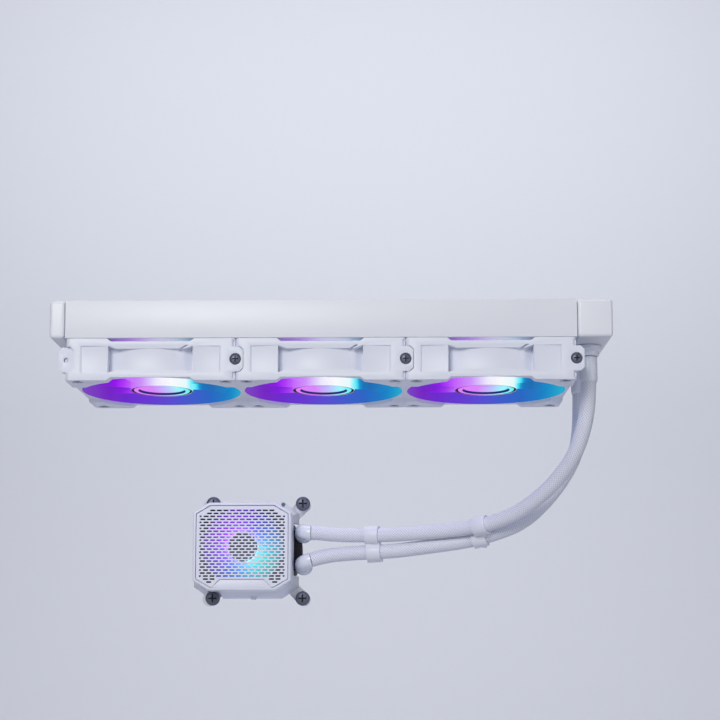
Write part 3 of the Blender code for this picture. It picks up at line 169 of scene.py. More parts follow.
def block(low, high):
    shape = bmesh.new()
    bmesh.ops.create_cube(shape, size=1.0)
    size = Vector(high) - Vector(low)
    centre = (Vector(high) + Vector(low)) / 2
    bmesh.ops.transform(shape, matrix=Matrix.Diagonal((*size, 1.0)), verts=shape.verts)
    bmesh.ops.translate(shape, vec=centre, verts=shape.verts)
    return made(shape)

def cylinder(radius, start, end, segments=48, x=0.0, y=0.0):
    return slab([circle(radius, segments, x, y)], start, end)

def turned(profile, segments=64, closed=False):
    """A profile of (radius, height) points turned about Z, running down its outer side."""
    mesh = bpy.data.meshes.new("profile")
    count = len(profile)
    edges = [(i, i + 1) for i in range(count - 1)]
    if closed:
        edges.append((count - 1, 0))
    mesh.from_pydata([(radius, 0, height) for radius, height in profile], edges, [])
    obj = scratch(mesh)
    screw = obj.modifiers.new("turn", "SCREW")
    screw.steps = segments
    screw.render_steps = segments
    screw.use_merge_vertices = True
    screw.merge_threshold = 0.000005
    return taken(obj)

def slab(outlines, low, high):
    """Flat outlines between two heights: an outer one and its holes, or several apart."""
    curve = bpy.data.curves.new("slab", "CURVE")
    curve.dimensions = "2D"
    curve.fill_mode = "BOTH"
    curve.extrude = (high - low) / 2
    curve.resolution_u = 1
    for outline in outlines:
        spline = curve.splines.new("POLY")
        spline.points.add(len(outline) - 1)
        for point, (x, y) in zip(spline.points, outline):
            point.co = (x, y, 0, 1)
        spline.use_cyclic_u = True
    return moved(taken(scratch(curve)), offset(0, 0, (high + low) / 2))

def tube(points, radius, level, ends=(1.0, 1.0)):
    curve = bpy.data.curves.new("tube", "CURVE")
    curve.dimensions = "3D"
    curve.bevel_depth = radius
    curve.bevel_resolution = level
    curve.use_fill_caps = True
    curve.resolution_u = 1
    spline = curve.splines.new("POLY")
    spline.points.add(len(points) - 1)
    for i, place in enumerate(points):
        share = i / (len(points) - 1)
        spline.points[i].co = (*place, 1)
        spline.points[i].radius = ends[0] + (ends[1] - ends[0]) * share
    return taken(scratch(curve))

def circle(radius, segments, x=0.0, y=0.0):
    turn = 2 * math.pi / segments
    return [
        (x + radius * math.cos(i * turn), y + radius * math.sin(i * turn)) for i in range(segments)
    ]

def arc(radius, start, end, steps, x=0.0, y=0.0):
    points = []
    for i in range(steps + 1):
        angle = math.radians(start + (end - start) * i / steps)
        points.append((x + radius * math.cos(angle), y + radius * math.sin(angle)))
    return points

def octagon(width, height, chamfer, x=0.0, y=0.0):
    half_width = width / 2
    half_height = height / 2
    flat_x = half_width - chamfer[0]
    flat_y = half_height - chamfer[1]
    corners = [
        (half_width, -flat_y),
        (half_width, flat_y),
        (flat_x, half_height),
        (-flat_x, half_height),
        (-half_width, flat_y),
        (-half_width, -flat_y),
        (-flat_x, -half_height),
        (flat_x, -half_height),
    ]
    return [(x + a, y + b) for a, b in corners]

def loft(lower, upper, low, high):
    shape = bmesh.new()
    bottom = [shape.verts.new((x, y, low)) for x, y in lower]
    top = [shape.verts.new((x, y, high)) for x, y in upper]
    count = len(bottom)
    shape.faces.new(list(reversed(bottom)))
    shape.faces.new(top)
    for i in range(count):
        following = (i + 1) % count
        shape.faces.new((bottom[i], bottom[following], top[following], top[i]))
    return made(shape)

def piece(name, mesh, materials, body="root", nodes=(), matrix=None, angle=35):
    """A finished piece that rides on a body and stands for CAD nodes."""
    obj = bpy.data.objects.new(name, mesh)
    bpy.context.scene.collection.objects.link(obj)
    if matrix is not None:
        obj.matrix_world = matrix
    if not isinstance(materials, (list, tuple)):
        materials = [materials]
    while len(mesh.materials):
        mesh.materials.pop(index=len(mesh.materials) - 1)
    for material in materials:
        mesh.materials.append(material)
    mesh.shade_smooth()
    mesh.set_sharp_from_angle(angle=math.radians(angle))
    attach(obj, body)
    if nodes:
        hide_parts(*nodes)
    return obj

# ---------------------------------------------------------------- materials

def linear(colour):
    """Display values from 0 to 255 as scene-linear values."""
    values = []
    for c in colour:
        c = c / 255
        values.append(c / 12.92 if c <= 0.04045 else ((c + 0.055) / 1.055) ** 2.4)
    return (*values, 1.0)

def new_material(name):
    material = bpy.data.materials.new(name)
    material.use_nodes = True
    nodes = material.node_tree.nodes
    return material, nodes, material.node_tree.links, nodes["Principled BSDF"]

def math_node(nodes, links, operation, *values):
    node = nodes.new("ShaderNodeMath")
    node.operation = operation
    for socket, value in zip(node.inputs, values):
        if isinstance(value, (int, float)):
            socket.default_value = value
        else:
            links.new(value, socket)
    return node.outputs[0]

def map_range(nodes, links, value, low, high, to_low, to_high):
    node = nodes.new("ShaderNodeMapRange")
    links.new(value, node.inputs["Value"])
    node.inputs["From Min"].default_value = low
    node.inputs["From Max"].default_value = high
    node.inputs["To Min"].default_value = to_low
    node.inputs["To Max"].default_value = to_high
    return node.outputs["Result"]

def noise(nodes, links, vector, scale, detail=3.0, rough=0.55):
    node = nodes.new("ShaderNodeTexNoise")
    node.inputs["Scale"].default_value = scale
    node.inputs["Detail"].default_value = detail
    node.inputs["Roughness"].default_value = rough
    links.new(vector, node.inputs["Vector"])
    return node.outputs["Fac"]

def mix_colour(nodes, links, factor, first, second, blend="MIX"):
    node = nodes.new("ShaderNodeMix")
    node.data_type = "RGBA"
    node.blend_type = blend
    for socket, value in ((node.inputs[0], factor), (node.inputs[6], first), (node.inputs[7], second)):
        if isinstance(value, (int, float)):
            socket.default_value = value
        elif isinstance(value, tuple):
            socket.default_value = value
        else:
            links.new(value, socket)
    return node.outputs[2]

def surface(name, colour, roughness, metallic=0.0, grain=1400.0, depth=0.06, vary=0.05, coat=0.0):
    """Moulded or painted: fine grain, slight changes of shade and gloss."""
    material, nodes, links, shader = new_material(name)
    coordinates = nodes.new("ShaderNodeTexCoord").outputs["Object"]
    broad = noise(nodes, links, coordinates, 22.0, 4.0)
    darker = tuple(c * (1 - vary) for c in linear(colour)[:3]) + (1.0,)
    lighter = tuple(min(1.0, c * (1 + vary)) for c in linear(colour)[:3]) + (1.0,)
    links.new(mix_colour(nodes, links, broad, darker, lighter), shader.inputs["Base Color"])
    fine = noise(nodes, links, coordinates, grain, 2.0)
    mixed = math_node(nodes, links, "ADD", broad, fine)
    gloss = map_range(nodes, links, mixed, 0.5, 1.5, roughness - 0.07, roughness + 0.07)
    links.new(gloss, shader.inputs["Roughness"])
    shader.inputs["Metallic"].default_value = metallic
    shader.inputs["Coat Weight"].default_value = coat
    shader.inputs["Coat Roughness"].default_value = 0.15
    bump = nodes.new("ShaderNodeBump")
    bump.inputs["Strength"].default_value = depth
    bump.inputs["Distance"].default_value = 0.0002
    links.new(fine, bump.inputs["Height"])
    links.new(bump.outputs["Normal"], shader.inputs["Normal"])
    return material

def braid_material(name, colour):
    """Woven nylon: painted shade in the pits where strands cross, and fine threads along them."""
    material, nodes, links, shader = new_material(name)
    uv = nodes.new("ShaderNodeTexCoord").outputs["UV"]
    split = nodes.new("ShaderNodeSeparateXYZ")
    links.new(uv, split.inputs["Vector"])
    weaves = []
    for times in (STRANDS, STRANDS * 5):
        heights = []
        for sign in (1, -1):
            along = math_node(nodes, links, "MULTIPLY", split.outputs["Y"], math.pi * sign * times)
            around = math_node(nodes, links, "MULTIPLY", split.outputs["X"], math.pi * times)
            phase = math_node(nodes, links, "ADD", around, along)
            heights.append(math_node(nodes, links, "ABSOLUTE", math_node(nodes, links, "SINE", phase)))
        weaves.append(math_node(nodes, links, "MAXIMUM", *heights))
    coordinates = nodes.new("ShaderNodeTexCoord").outputs["Object"]
    fuzz = noise(nodes, links, coordinates, 2600.0, 2.0)
    # Painted shade: the weave's pits are darker
    shade = map_range(nodes, links, weaves[0], 0.15, 0.85, 0.0, 1.0)
    painted_pit_shade = tuple(c * 0.50 for c in linear(colour)[:3]) + (1.0,)
    links.new(mix_colour(nodes, links, shade, painted_pit_shade, linear(colour)), shader.inputs["Base Color"])
    shader.inputs["Roughness"].default_value = 0.6
    shader.inputs["Sheen Weight"].default_value = 0.2
    shader.inputs["Sheen Roughness"].default_value = 0.4
    threads = math_node(nodes, links, "MULTIPLY", weaves[1], 0.4)
    total = math_node(nodes, links, "ADD", math_node(nodes, links, "MULTIPLY", fuzz, 0.3), threads)
    bump = nodes.new("ShaderNodeBump")
    bump.inputs["Strength"].default_value = 0.35
    bump.inputs["Distance"].default_value = 0.0002
    links.new(total, bump.inputs["Height"])
    links.new(bump.outputs["Normal"], shader.inputs["Normal"])
    return material

def ramp(nodes, links, value, stops):
    node = nodes.new("ShaderNodeValToRGB")
    links.new(value, node.inputs["Fac"])
    elements = node.color_ramp.elements
    elements[0].position = stops[0][0]
    elements[0].color = linear(stops[0][1])
    elements[1].position = stops[-1][0]
    elements[1].color = linear(stops[-1][1])
    for position, colour in stops[1:-1]:
        elements.new(position).color = linear(colour)
    return node.outputs["Color"]

def polar(nodes, links, centre=(0.0, 0.0), coordinates=None):
    """Angle from 0 to 1, starting at -X and running by -Y, and the radius, about a centre."""
    if coordinates is None:
        coordinates = nodes.new("ShaderNodeTexCoord").outputs["Object"]
    split = nodes.new("ShaderNodeSeparateXYZ")
    links.new(coordinates, split.inputs["Vector"])
    x = math_node(nodes, links, "SUBTRACT", split.outputs["X"], centre[0])
    y = math_node(nodes, links, "SUBTRACT", split.outputs["Y"], centre[1])
    angle = math_node(nodes, links, "ARCTAN2", y, x)
    turn = map_range(nodes, links, angle, -math.pi, math.pi, 0.0, 1.0)
    squares = math_node(
        nodes, links, "ADD", math_node(nodes, links, "POWER", x, 2.0), math_node(
            nodes, links, "POWER", y, 2.0,
        )
    )
    return coordinates, x, turn, math_node(nodes, links, "SQRT", squares)

def emission_over_gloss(name, make_colour, strength, base=(26, 24, 36), roughness=0.7):
    """An emission colour over a dim gloss surface: milky plastic lit from inside, or painted light where a surface
    only catches a glow.
    """
    material, nodes, links, shader = new_material(name)
    colour, coordinates = make_colour(nodes, links)
    links.new(colour, shader.inputs["Emission Color"])
    shader.inputs["Emission Strength"].default_value = strength
    grain = noise(nodes, links, coordinates, 60.0, 3.0)
    low = tuple(c * 0.85 for c in linear(base)[:3]) + (1.0,)
    links.new(mix_colour(nodes, links, grain, low, linear(base)), shader.inputs["Base Color"])
    shader.inputs["Roughness"].default_value = roughness
    shader.inputs["Specular IOR Level"].default_value = 0.12
    return material

# The fan's light from its left to its right, on the near half and on the far half
FAN_LIGHT_NEAR = [
    (0.000, (122, 66, 190)),
    (0.112, (118, 26, 198)),
    (0.198, (150, 18, 238)),
    (0.259, (178, 60, 250)),
    (0.328, (200, 112, 251)),
    (0.397, (208, 148, 252)),
    (0.448, (220, 196, 253)),
    (0.500, (240, 236, 254)),
    (0.586, (252, 253, 253)),
    (0.668, (232, 251, 254)),
    (0.692, (140, 245, 252)),
    (0.712, (70, 225, 248)),
    (0.728, (12, 150, 205)),
    (0.748, (13, 116, 186)),
    (0.802, (20, 106, 180)),
    (0.914, (20, 138, 200)),
    (1.000, (34, 170, 204)),
]
FAN_LIGHT_FAR = [
    (0.000, (122, 66, 190)),
    (0.070, (116, 44, 190)),
    (0.198, (108, 40, 206)),
    (0.371, (100, 58, 211)),
    (0.500, (88, 76, 211)),
    (0.629, (64, 92, 204)),
    (0.759, (40, 102, 196)),
    (0.888, (24, 124, 198)),
    (1.000, (34, 158, 204)),
]

def fan_place(nodes, links):
    """Place in a fan's square. The lamps don't turn with the rotor, so their colours stay put."""
    split = nodes.new("ShaderNodeSeparateXYZ")
    links.new(nodes.new("ShaderNodeNewGeometry").outputs["Position"], split.inputs["Vector"])
    shifted = math_node(nodes, links, "ADD", split.outputs["X"], 0.18)
    within = math_node(nodes, links, "MODULO", shifted, 0.12)
    place = nodes.new("ShaderNodeCombineXYZ")
    links.new(math_node(nodes, links, "SUBTRACT", within, 0.06), place.inputs["X"])
    links.new(split.outputs["Y"], place.inputs["Y"])
    links.new(split.outputs["Z"], place.inputs["Z"])
    return place.outputs["Vector"]

def fan_light(nodes, links):
    """The fan's light: violet, a white patch on the near side, then blue."""
    coordinates = fan_place(nodes, links)
    split = nodes.new("ShaderNodeSeparateXYZ")
    links.new(coordinates, split.inputs["Vector"])
    wobble = noise(nodes, links, coordinates, 60.0, 2.0)
    shift = map_range(nodes, links, wobble, 0.3, 0.7, -0.004, 0.004)
    across = map_range(nodes, links, split.outputs["X"], -0.058, 0.058, 0.0, 1.0)
    across = math_node(nodes, links, "ADD", across, shift)
    near = ramp(nodes, links, across, FAN_LIGHT_NEAR)
    far = ramp(nodes, links, across, FAN_LIGHT_FAR)
    side = map_range(nodes, links, split.outputs["Y"], 0.026, 0.044, 0.0, 1.0)
    return mix_colour(nodes, links, side, near, far), coordinates

def hub_light(nodes, links):
    """The hub's ring: pink on the left, blue-white on top, cyan on the right; the dish's near middle gets painted
    shade in dark blue.
    """
    coordinates, x, turn, radius = polar(nodes, links, coordinates=fan_place(nodes, links))
    across = map_range(nodes, links, x, -0.021, 0.021, 0.0, 1.0)
    colour = ramp(
        nodes, links, across,
        [(0.0, (226, 120, 250)), (0.35, (214, 128, 248)), (0.6, (188, 190, 250)), (0.8, (150, 244, 252)), (1.0, (90, 236, 246))],
    )
    split = nodes.new("ShaderNodeSeparateXYZ")
    links.new(coordinates, split.inputs["Vector"])
    # Painted shade: dark blue on the near middle of the dish
    near = map_range(nodes, links, split.outputs["Y"], -0.008, -0.0145, 0.0, 1.0)
    within = map_range(nodes, links, radius, 0.0172, 0.0170, 0.0, 0.9)
    middle = map_range(nodes, links, math_node(nodes, links, "ABSOLUTE", x), 0.003, 0.0095, 1.0, 0.0)
    factor = math_node(nodes, links, "MULTIPLY", near, math_node(nodes, links, "MULTIPLY", within, middle))
    return mix_colour(nodes, links, factor, colour, linear((30, 60, 205))), coordinates

def spill_light(nodes, links):
    """Light from the three fans on the radiator's core."""
    coordinates = nodes.new("ShaderNodeTexCoord").outputs["Object"]
    split = nodes.new("ShaderNodeSeparateXYZ")
    links.new(coordinates, split.inputs["Vector"])
    shifted = math_node(nodes, links, "ADD", split.outputs["X"], 0.18)
    within = math_node(nodes, links, "MODULO", shifted, 0.12)
    across = map_range(nodes, links, within, 0.0, 0.12, 0.0, 1.0)
    colour = ramp(
        nodes, links, across,
        [(0.0, (110, 40, 190)), (0.3, (140, 60, 225)), (0.5, (150, 130, 235)), (0.7, (60, 150, 215)), (1.0, (20, 120, 185))],
    )
    depth = map_range(nodes, links, split.outputs["Z"], -0.0255, -0.017, 1.0, 0.0)
    return mix_colour(nodes, links, depth, (0.0, 0.0, 0.0, 1.0), colour), coordinates

PUMP_LIGHT = [
    (0.000, (150, 22, 255)),
    (0.083, (122, 36, 255)),
    (0.167, (52, 110, 255)),
    (0.250, (18, 176, 255)),
    (0.333, (14, 238, 250)),
    (0.417, (22, 240, 226)),
    (0.500, (20, 214, 255)),
    (0.583, (46, 118, 254)),
    (0.667, (82, 22, 236)),
    (0.750, (138, 20, 250)),
    (0.833, (156, 20, 255)),
    (0.917, (160, 16, 255)),
    (1.000, (150, 22, 255)),
]

def pump_light(nodes, links):
    """The pump's light by angle, fading to the corners."""
    coordinates, x, turn, radius = polar(nodes, links, (CAP_X, CAP_Y))
    colour = ramp(nodes, links, turn, PUMP_LIGHT)
    fade = map_range(nodes, links, radius, 0.016, 0.037, 0.0, 1.0)
    fade = math_node(nodes, links, "POWER", fade, 0.8)
    glow = map_range(nodes, links, radius, 0.011, 0.0165, 0.32, 0.0)
    colour = mix_colour(nodes, links, glow, colour, linear((235, 190, 255)))
    return mix_colour(nodes, links, fade, colour, linear((14, 12, 52))), coordinates

WHITE = surface("white_plastic", (226, 229, 240), 0.42, depth=0.05, vary=0.03)
FRAME_WHITE = surface("fan_frame_plastic", (224, 227, 240), 0.46, depth=0.08, vary=0.03)
SMOOTH_WHITE = surface("smooth_white", (226, 230, 242), 0.28, grain=500.0, depth=0.015, vary=0.02, coat=0.2)
PAINT = surface("white_paint", (228, 230, 238), 0.40, grain=2200.0, depth=0.10, vary=0.02)
STEEL = surface("machined_steel", (168, 170, 176), 0.30, metallic=1.0, grain=900.0, depth=0.05)
DARK_STEEL = surface("dark_screw", (100, 105, 122), 0.42, metallic=0.45, grain=1800.0, depth=0.08, vary=0.12)
# Painted shade for the insides of the screws' cross recesses
PAINTED_RECESS_SHADE = surface("screw_recess_painted_shade", (20, 21, 30), 0.6, grain=1800.0, depth=0.08, vary=0.12)
BLACK = surface("black_plastic", (22, 22, 26), 0.45, depth=0.08, vary=0.15)
HUB_BLACK = surface("hub_black", (8, 8, 22), 0.7, depth=0.04, vary=0.1)
BOARD = surface("circuit_board", (16, 17, 30), 0.5, grain=700.0, depth=0.1, vary=0.2)
COPPER = surface("machined_copper", (214, 138, 104), 0.24, metallic=1.0, grain=1200.0, depth=0.04)
RUBBER = surface("rubber", (24, 24, 27), 0.75, depth=0.1, vary=0.1)
GLAND = surface("grey_gland", (96, 112, 140), 0.5, depth=0.08, vary=0.08)
BRAID = braid_material("white_braid", (226, 229, 242))
BLADE_LIGHT = emission_over_gloss("lit_blades", fan_light, 0.97)
HUB_LIGHT = emission_over_gloss("lit_hub", hub_light, 1.0)
HUB_BLACK.node_tree.nodes["Principled BSDF"].inputs["Specular IOR Level"].default_value = 0.1
# Painted shade for the step in the hub's cap
HUB_STEP_SHADE = surface("hub_step_painted_shade", (20, 50, 150), 0.4, depth=0.03)
PUMP_LIGHT_MATERIAL = emission_over_gloss("lit_pump_ring", pump_light, 1.15)
# Painted light: the fins glow with the fans' colours though they are no lamp
FINS_PAINTED_GLOW = emission_over_gloss("white_fins_painted_glow", spill_light, 0.5, base=(214, 217, 226), roughness=0.45)

# ---------------------------------------------------------------- camera

def make_camera():
    data = bpy.data.cameras.new("camera")
    data.lens = 77.157
    data.sensor_width = 36.0
    data.shift_y = 0.15
    data.clip_start = 0.05
    data.clip_end = 20.0
    camera = bpy.data.objects.new("camera", data)
    bpy.context.scene.collection.objects.link(camera)
    camera.location = (0.0450, -1.1262, -0.2547)
    aim = Vector((-0.01607, 1.0, 0.12643))
    camera.rotation_euler = aim.to_track_quat("-Z", "Y").to_euler()
    bpy.context.scene.camera = camera

make_camera()

# ---------------------------------------------------------------- hoses

HOSE_RADIUS = 5.45 * MM
BRAID_HEIGHT = 0.22 * MM
SIDES = 80
RING_STEP = 0.55 * MM

def spline_points(route, per_span=24):
    points = [Vector(p) for p in route]
    padded = [2 * points[0] - points[1], *points, 2 * points[-1] - points[-2]]
    curve = []
    for before, start, end, after in zip(padded, padded[1:], padded[2:], padded[3:]):
        for step in range(per_span):
            t = step / per_span
            curve.append(
                0.5
                * (
                    2 * start
                    + (end - before) * t
                    + (2 * before - 5 * start + 4 * end - after) * t * t
                    + (3 * start - before - 3 * end + after) * t * t * t
                )
            )
    curve.append(points[-1])
    return curve

def evenly_spaced(curve, step):
    lengths = [0.0]
    for a, b in zip(curve, curve[1:]):
        lengths.append(lengths[-1] + (b - a).length)
    count = round(lengths[-1] / step)
    spaced = []
    at = 0
    for i in range(count + 1):
        target = min(lengths[-1] * i / count, lengths[-1])
        while at < len(lengths) - 2 and lengths[at + 1] < target:
            at += 1
        share = (target - lengths[at]) / (lengths[at + 1] - lengths[at])
        spaced.append(curve[at].lerp(curve[at + 1], share))
    return spaced

def braided_tube(line):
    """A tube along a line, its surface raised where strands cross over each other."""
    places = np.array([tuple(p) for p in line])
    count = len(places)
    directions = np.gradient(places, axis=0)
    directions /= np.linalg.norm(directions, axis=1)[:, None]
    side = np.array([0.0, 1.0, 0.0])
    sides = []
    for direction in directions:
        side = side - side.dot(direction) * direction
        side /= np.linalg.norm(side)
        sides.append(side)
    sides = np.array(sides)
    ups = np.cross(directions, sides)
    along = np.arange(count) * RING_STEP
    around = np.arange(SIDES) / SIDES
    turn = around[None, :] * STRANDS
    pitch = along[:, None] / (2 * math.pi * HOSE_RADIUS / STRANDS)
    first = turn + pitch
    second = turn - pitch
    over = np.cos(np.pi * (first + second)) * np.cos(np.pi * (first - second))
    height = np.maximum(
        np.abs(np.sin(np.pi * first)) * (0.8 + 0.2 * over),
        np.abs(np.sin(np.pi * second)) * (0.8 - 0.2 * over),
    )
    radius = HOSE_RADIUS + BRAID_HEIGHT * height
    cos = np.cos(2 * np.pi * around)[None, :, None]
    sin = np.sin(2 * np.pi * around)[None, :, None]
    rings = places[:, None, :] + radius[:, :, None] * (cos * sides[:, None, :] + sin * ups[:, None, :])
    vertices = [tuple(v) for v in rings.reshape(-1, 3)]
    faces = []
    for i in range(count - 1):
        for j in range(SIDES):
            k = (j + 1) % SIDES
            faces.append((i * SIDES + j, i * SIDES + k, (i + 1) * SIDES + k, (i + 1) * SIDES + j))
    faces.append(tuple(range(SIDES - 1, -1, -1)))
    faces.append(tuple((count - 1) * SIDES + j for j in range(SIDES)))
    mesh = bpy.data.meshes.new("hose")
    mesh.from_pydata(vertices, [], faces)
    layer = mesh.uv_layers.new(name="UVMap")
    values = np.zeros((len(mesh.loops), 2))
    index = 0
    scale = 1 / (2 * math.pi * HOSE_RADIUS)
    for i in range(count - 1):
        low = along[i] * scale
        high = (along[i] + RING_STEP) * scale
        for j in range(SIDES):
            values[index] = (j / SIDES, low)
            values[index + 1] = ((j + 1) / SIDES, low)
            values[index + 2] = ((j + 1) / SIDES, high)
            values[index + 3] = (j / SIDES, high)
            index += 4
    layer.data.foreach_set("uv", values.ravel())
    shape = opened(mesh)
    bmesh.ops.recalc_face_normals(shape, faces=shape.faces)
    return made(shape, mesh)

HOSE_LINES = {}

def make_hoses():
    for name, route in (("front", FRONT_ROUTE), ("rear", REAR_ROUTE)):
        curve = spline_points(route)
        line = evenly_spaced(curve, RING_STEP)
        HOSE_LINES[name] = line
        hose = piece(
            f"braided_hose_{name}", braided_tube(line), BRAID, nodes=[f"hose_{name}"], angle=80
        )
        collar = turned(
            [
                (5.8 * MM, 0.2 * MM),
                (6.3 * MM, 0.2 * MM),
                (6.55 * MM, -0.6 * MM),
                (6.55 * MM, -15.5 * MM),
                (6.35 * MM, -17.2 * MM),
                (5.9 * MM, -17.8 * MM),
                (5.8 * MM, -17.4 * MM),
            ],
            64,
            closed=True,
        )
        piece(
            f"hose_collar_{name}", collar, SMOOTH_WHITE, nodes=[f"hose_sleeve_{name}"],
            matrix=Matrix.Translation(route[0]),
        )

def place_on(line, x):
    for a, b in zip(line, line[1:]):
        if min(a.x, b.x) <= x <= max(a.x, b.x):
            share = (x - a.x) / (b.x - a.x)
            return a.lerp(b, share), (b - a).normalized()
    raise ValueError("the hose doesn't reach that place")

def make_clip(name, front_x, rear_x):
    """Two rings side by side, each about its own hose, with a web between them."""
    places = [place_on(HOSE_LINES["front"], front_x), place_on(HOSE_LINES["rear"], rear_x)]
    centre = (places[0][0] + places[1][0]) / 2
    half = 5.3 * MM
    across = places[1][0] - places[0][0]
    length = across.length
    across.normalize()
    side = (places[0][1] + places[1][1]).cross(across).normalized()
    direction = across.cross(side)
    turn = Matrix((across, side, direction)).transposed().to_4x4()
    bridge = block((-length / 2, -3.8 * MM, -half), (length / 2, 3.8 * MM, half))
    ridge = block(
        (length / 2 + 5.4 * MM, -2.6 * MM, -half - 0.5 * MM),
        (length / 2 + 7.9 * MM, 2.6 * MM, half + 0.5 * MM),
    )
    rings = []
    bores = []
    for sign, (place, own) in zip((-1, 1), places):
        local = turn.to_3x3().transposed() @ own
        spot = offset(sign * length / 2, 0, 0) @ local.to_track_quat("Z", "Y").to_matrix().to_4x4()
        rings.append(moved(cylinder(7.3 * MM, -half, half, 56), spot))
        bores.append(moved(cylinder(5.8 * MM, -3 * half, 3 * half, 56), spot))
    mesh = combined(
        bridge,
        (ADD, rings[0]),
        (ADD, rings[1]),
        (ADD, ridge),
        (CUT, bores[0]),
        (CUT, bores[1]),
    )
    mesh = soft_edges(mesh, 0.4 * MM, 2, 50)
    piece(f"clip_{name}", mesh, WHITE, nodes=[name], matrix=Matrix.Translation(centre) @ turn)

make_hoses()
make_clip("hose_clip_near_pump", 35.3 * MM, 36.8 * MM)
make_clip("hose_clip_middle", 118 * MM, 118 * MM)

# ---------------------------------------------------------------- radiator

DEPTH = 27 * MM

def make_rail(name, sign):
    web = 60 * MM
    inner = web - 1.2 * MM
    lip = web - 11 * MM
    outline = [
        (lip, 0),
        (lip, -1.2 * MM),
        (inner, -1.2 * MM),
        (inner, 1.2 * MM - DEPTH),
        (lip, 1.2 * MM - DEPTH),
        (lip, -DEPTH),
        (web, -DEPTH),
        (web, 0),
    ]
    channel = slab([outline], -180.7 * MM, 180.7 * MM)
    channel = moved(channel, rotation(90, "X"))
    channel = moved(channel, rotation(90, "Z"))
    holes = []
    for x in FANS.values():
        for end in (-1, 1):
            holes.append(cylinder(2.2 * MM, -DEPTH - MM, MM, 28, x + end * 52.5 * MM, 52.5 * MM))
    mesh = combined(channel, (CUT, merged(*holes)))
    mesh = soft_edges(mesh, 0.3 * MM, 2, 60)
    if sign < 0:
        mesh = moved(mesh, rotation(180, "Z"))
    piece(f"painted_{name}", mesh, PAINT, nodes=[name])

def make_tank(name, near, far, ports):
    low = (min(near, far), -60 * MM, -DEPTH)
    high = (max(near, far), 60 * MM, 0)
    obj = scratch(block(low, high))
    bevel = obj.modifiers.new("round", "BEVEL")
    bevel.width = 2.5 * MM
    bevel.segments = 5
    shell = taken(obj)
    inward = -math.copysign(1.0, near)
    mouth = near + inward * 2.5 * MM
    back = far + inward * 1.6 * MM
    room = block(
        (min(mouth, back), -57.5 * MM, -DEPTH + 2.5 * MM), (max(mouth, back), 57.5 * MM, -2.5 * MM)
    )
    steps = [(CUT, room)]
    if ports:
        for y in (-25 * MM, 25 * MM):
            steps.append((CUT, cylinder(4 * MM, -DEPTH - MM, -15 * MM, 32, 192.5 * MM, y)))
    else:
        hole = moved(cylinder(2.4 * MM, -4 * MM, 4 * MM, 24), rotation(90, "Y"))
        steps.append((CUT, moved(hole, offset(far, 42 * MM, -DEPTH / 2))))
    piece(f"painted_{name}", combined(shell, *steps), PAINT, nodes=[name], angle=30)

def make_fins():
    """Folded fins: one zigzag strip between each pair of tubes."""
    pitch = 1.5 * MM
    half = 3.2 * MM
    reach = 178.4 * MM
    low = -23.4 * MM
    high = -3.6 * MM
    count = int(2 * reach / pitch)
    vertices = []
    faces = []
    for row in range(13):
        y = (row - 6) * 9 * MM
        start = len(vertices)
        for i in range(count + 1):
            x = -reach + i * pitch
            side = half if i % 2 else -half
            vertices += [(x, y + side, low), (x, y + side, high)]
            vertices += [(x + 0.25 * pitch, y + side, low), (x + 0.25 * pitch, y + side, high)]
        for i in range(2 * (count + 1) - 1):
            a = start + 2 * i
            faces.append((a, a + 2, a + 3, a + 1))
    mesh = bpy.data.meshes.new("fins")
    mesh.from_pydata(vertices, [], faces)
    obj = scratch(mesh)
    solid = obj.modifiers.new("sheet", "SOLIDIFY")
    solid.thickness = 0.12 * MM
    solid.offset = 0
    # The fins carry the fans' glow as painted light
    piece("folded_fins", taken(obj, 0.00000001), FINS_PAINTED_GLOW, nodes=["fin_pack"], angle=30)

def make_fitting(name, y):
    profile = [
        (0, 0),
        (10 * MM, 0),
        (10 * MM, -3.0 * MM),
        (7.9 * MM, -4.2 * MM),
        (7.9 * MM, -6.9 * MM),
        (7.2 * MM, -7.6 * MM),
        (0, -7.6 * MM),
    ]
    mesh = soft_edges(turned(profile, 64), 0.4 * MM, 3, 30)
    piece(
        f"turned_{name}", mesh, SMOOTH_WHITE, nodes=[name],
        matrix=offset(192.5 * MM, y, -DEPTH - 0.3 * MM),
    )

def make_plug():
    profile = [
        (0, 2 * MM), (4 * MM, 2 * MM), (4 * MM, 0.3 * MM), (2.1 * MM, 0.3 * MM), (2.1 * MM, -3 * MM),
        (0, -3 * MM),
    ]
    slot_cut = block((-5 * MM, -0.5 * MM, 1.1 * MM), (5 * MM, 0.5 * MM, 3 * MM))
    mesh = soft_edges(combined(turned(profile, 40), (CUT, slot_cut)), 0.25 * MM, 2, 40)
    matrix = offset(-0.192, 0.042, -DEPTH / 2) @ rotation(-90, "Y")
    piece("slotted_plug", mesh, STEEL, nodes=["fill_plug"], matrix=matrix)

make_rail("side_rail_front", -1)
make_rail("side_rail_rear", 1)
make_tank("end_tank_ports", 181 * MM, 206 * MM, True)
make_tank("end_tank_return", -181 * MM, -192 * MM, False)
make_fins()
make_fitting("port_fitting_front", -25 * MM)
make_fitting("port_fitting_rear", 25 * MM)
make_plug()

# ---------------------------------------------------------------- fans

HALF = 60 * MM
LOW = -15 * MM
HIGH = 15 * MM
BORE = 58.3 * MM
BORE_SIDES = 160
MOUTH_TOP = -12.8 * MM

def four_sides(maker):
    meshes = []
    for quarter in range(4):
        meshes.append(moved(maker(), Matrix.Rotation(quarter * math.pi / 2, 4, "Z")))
    return merged(*meshes)

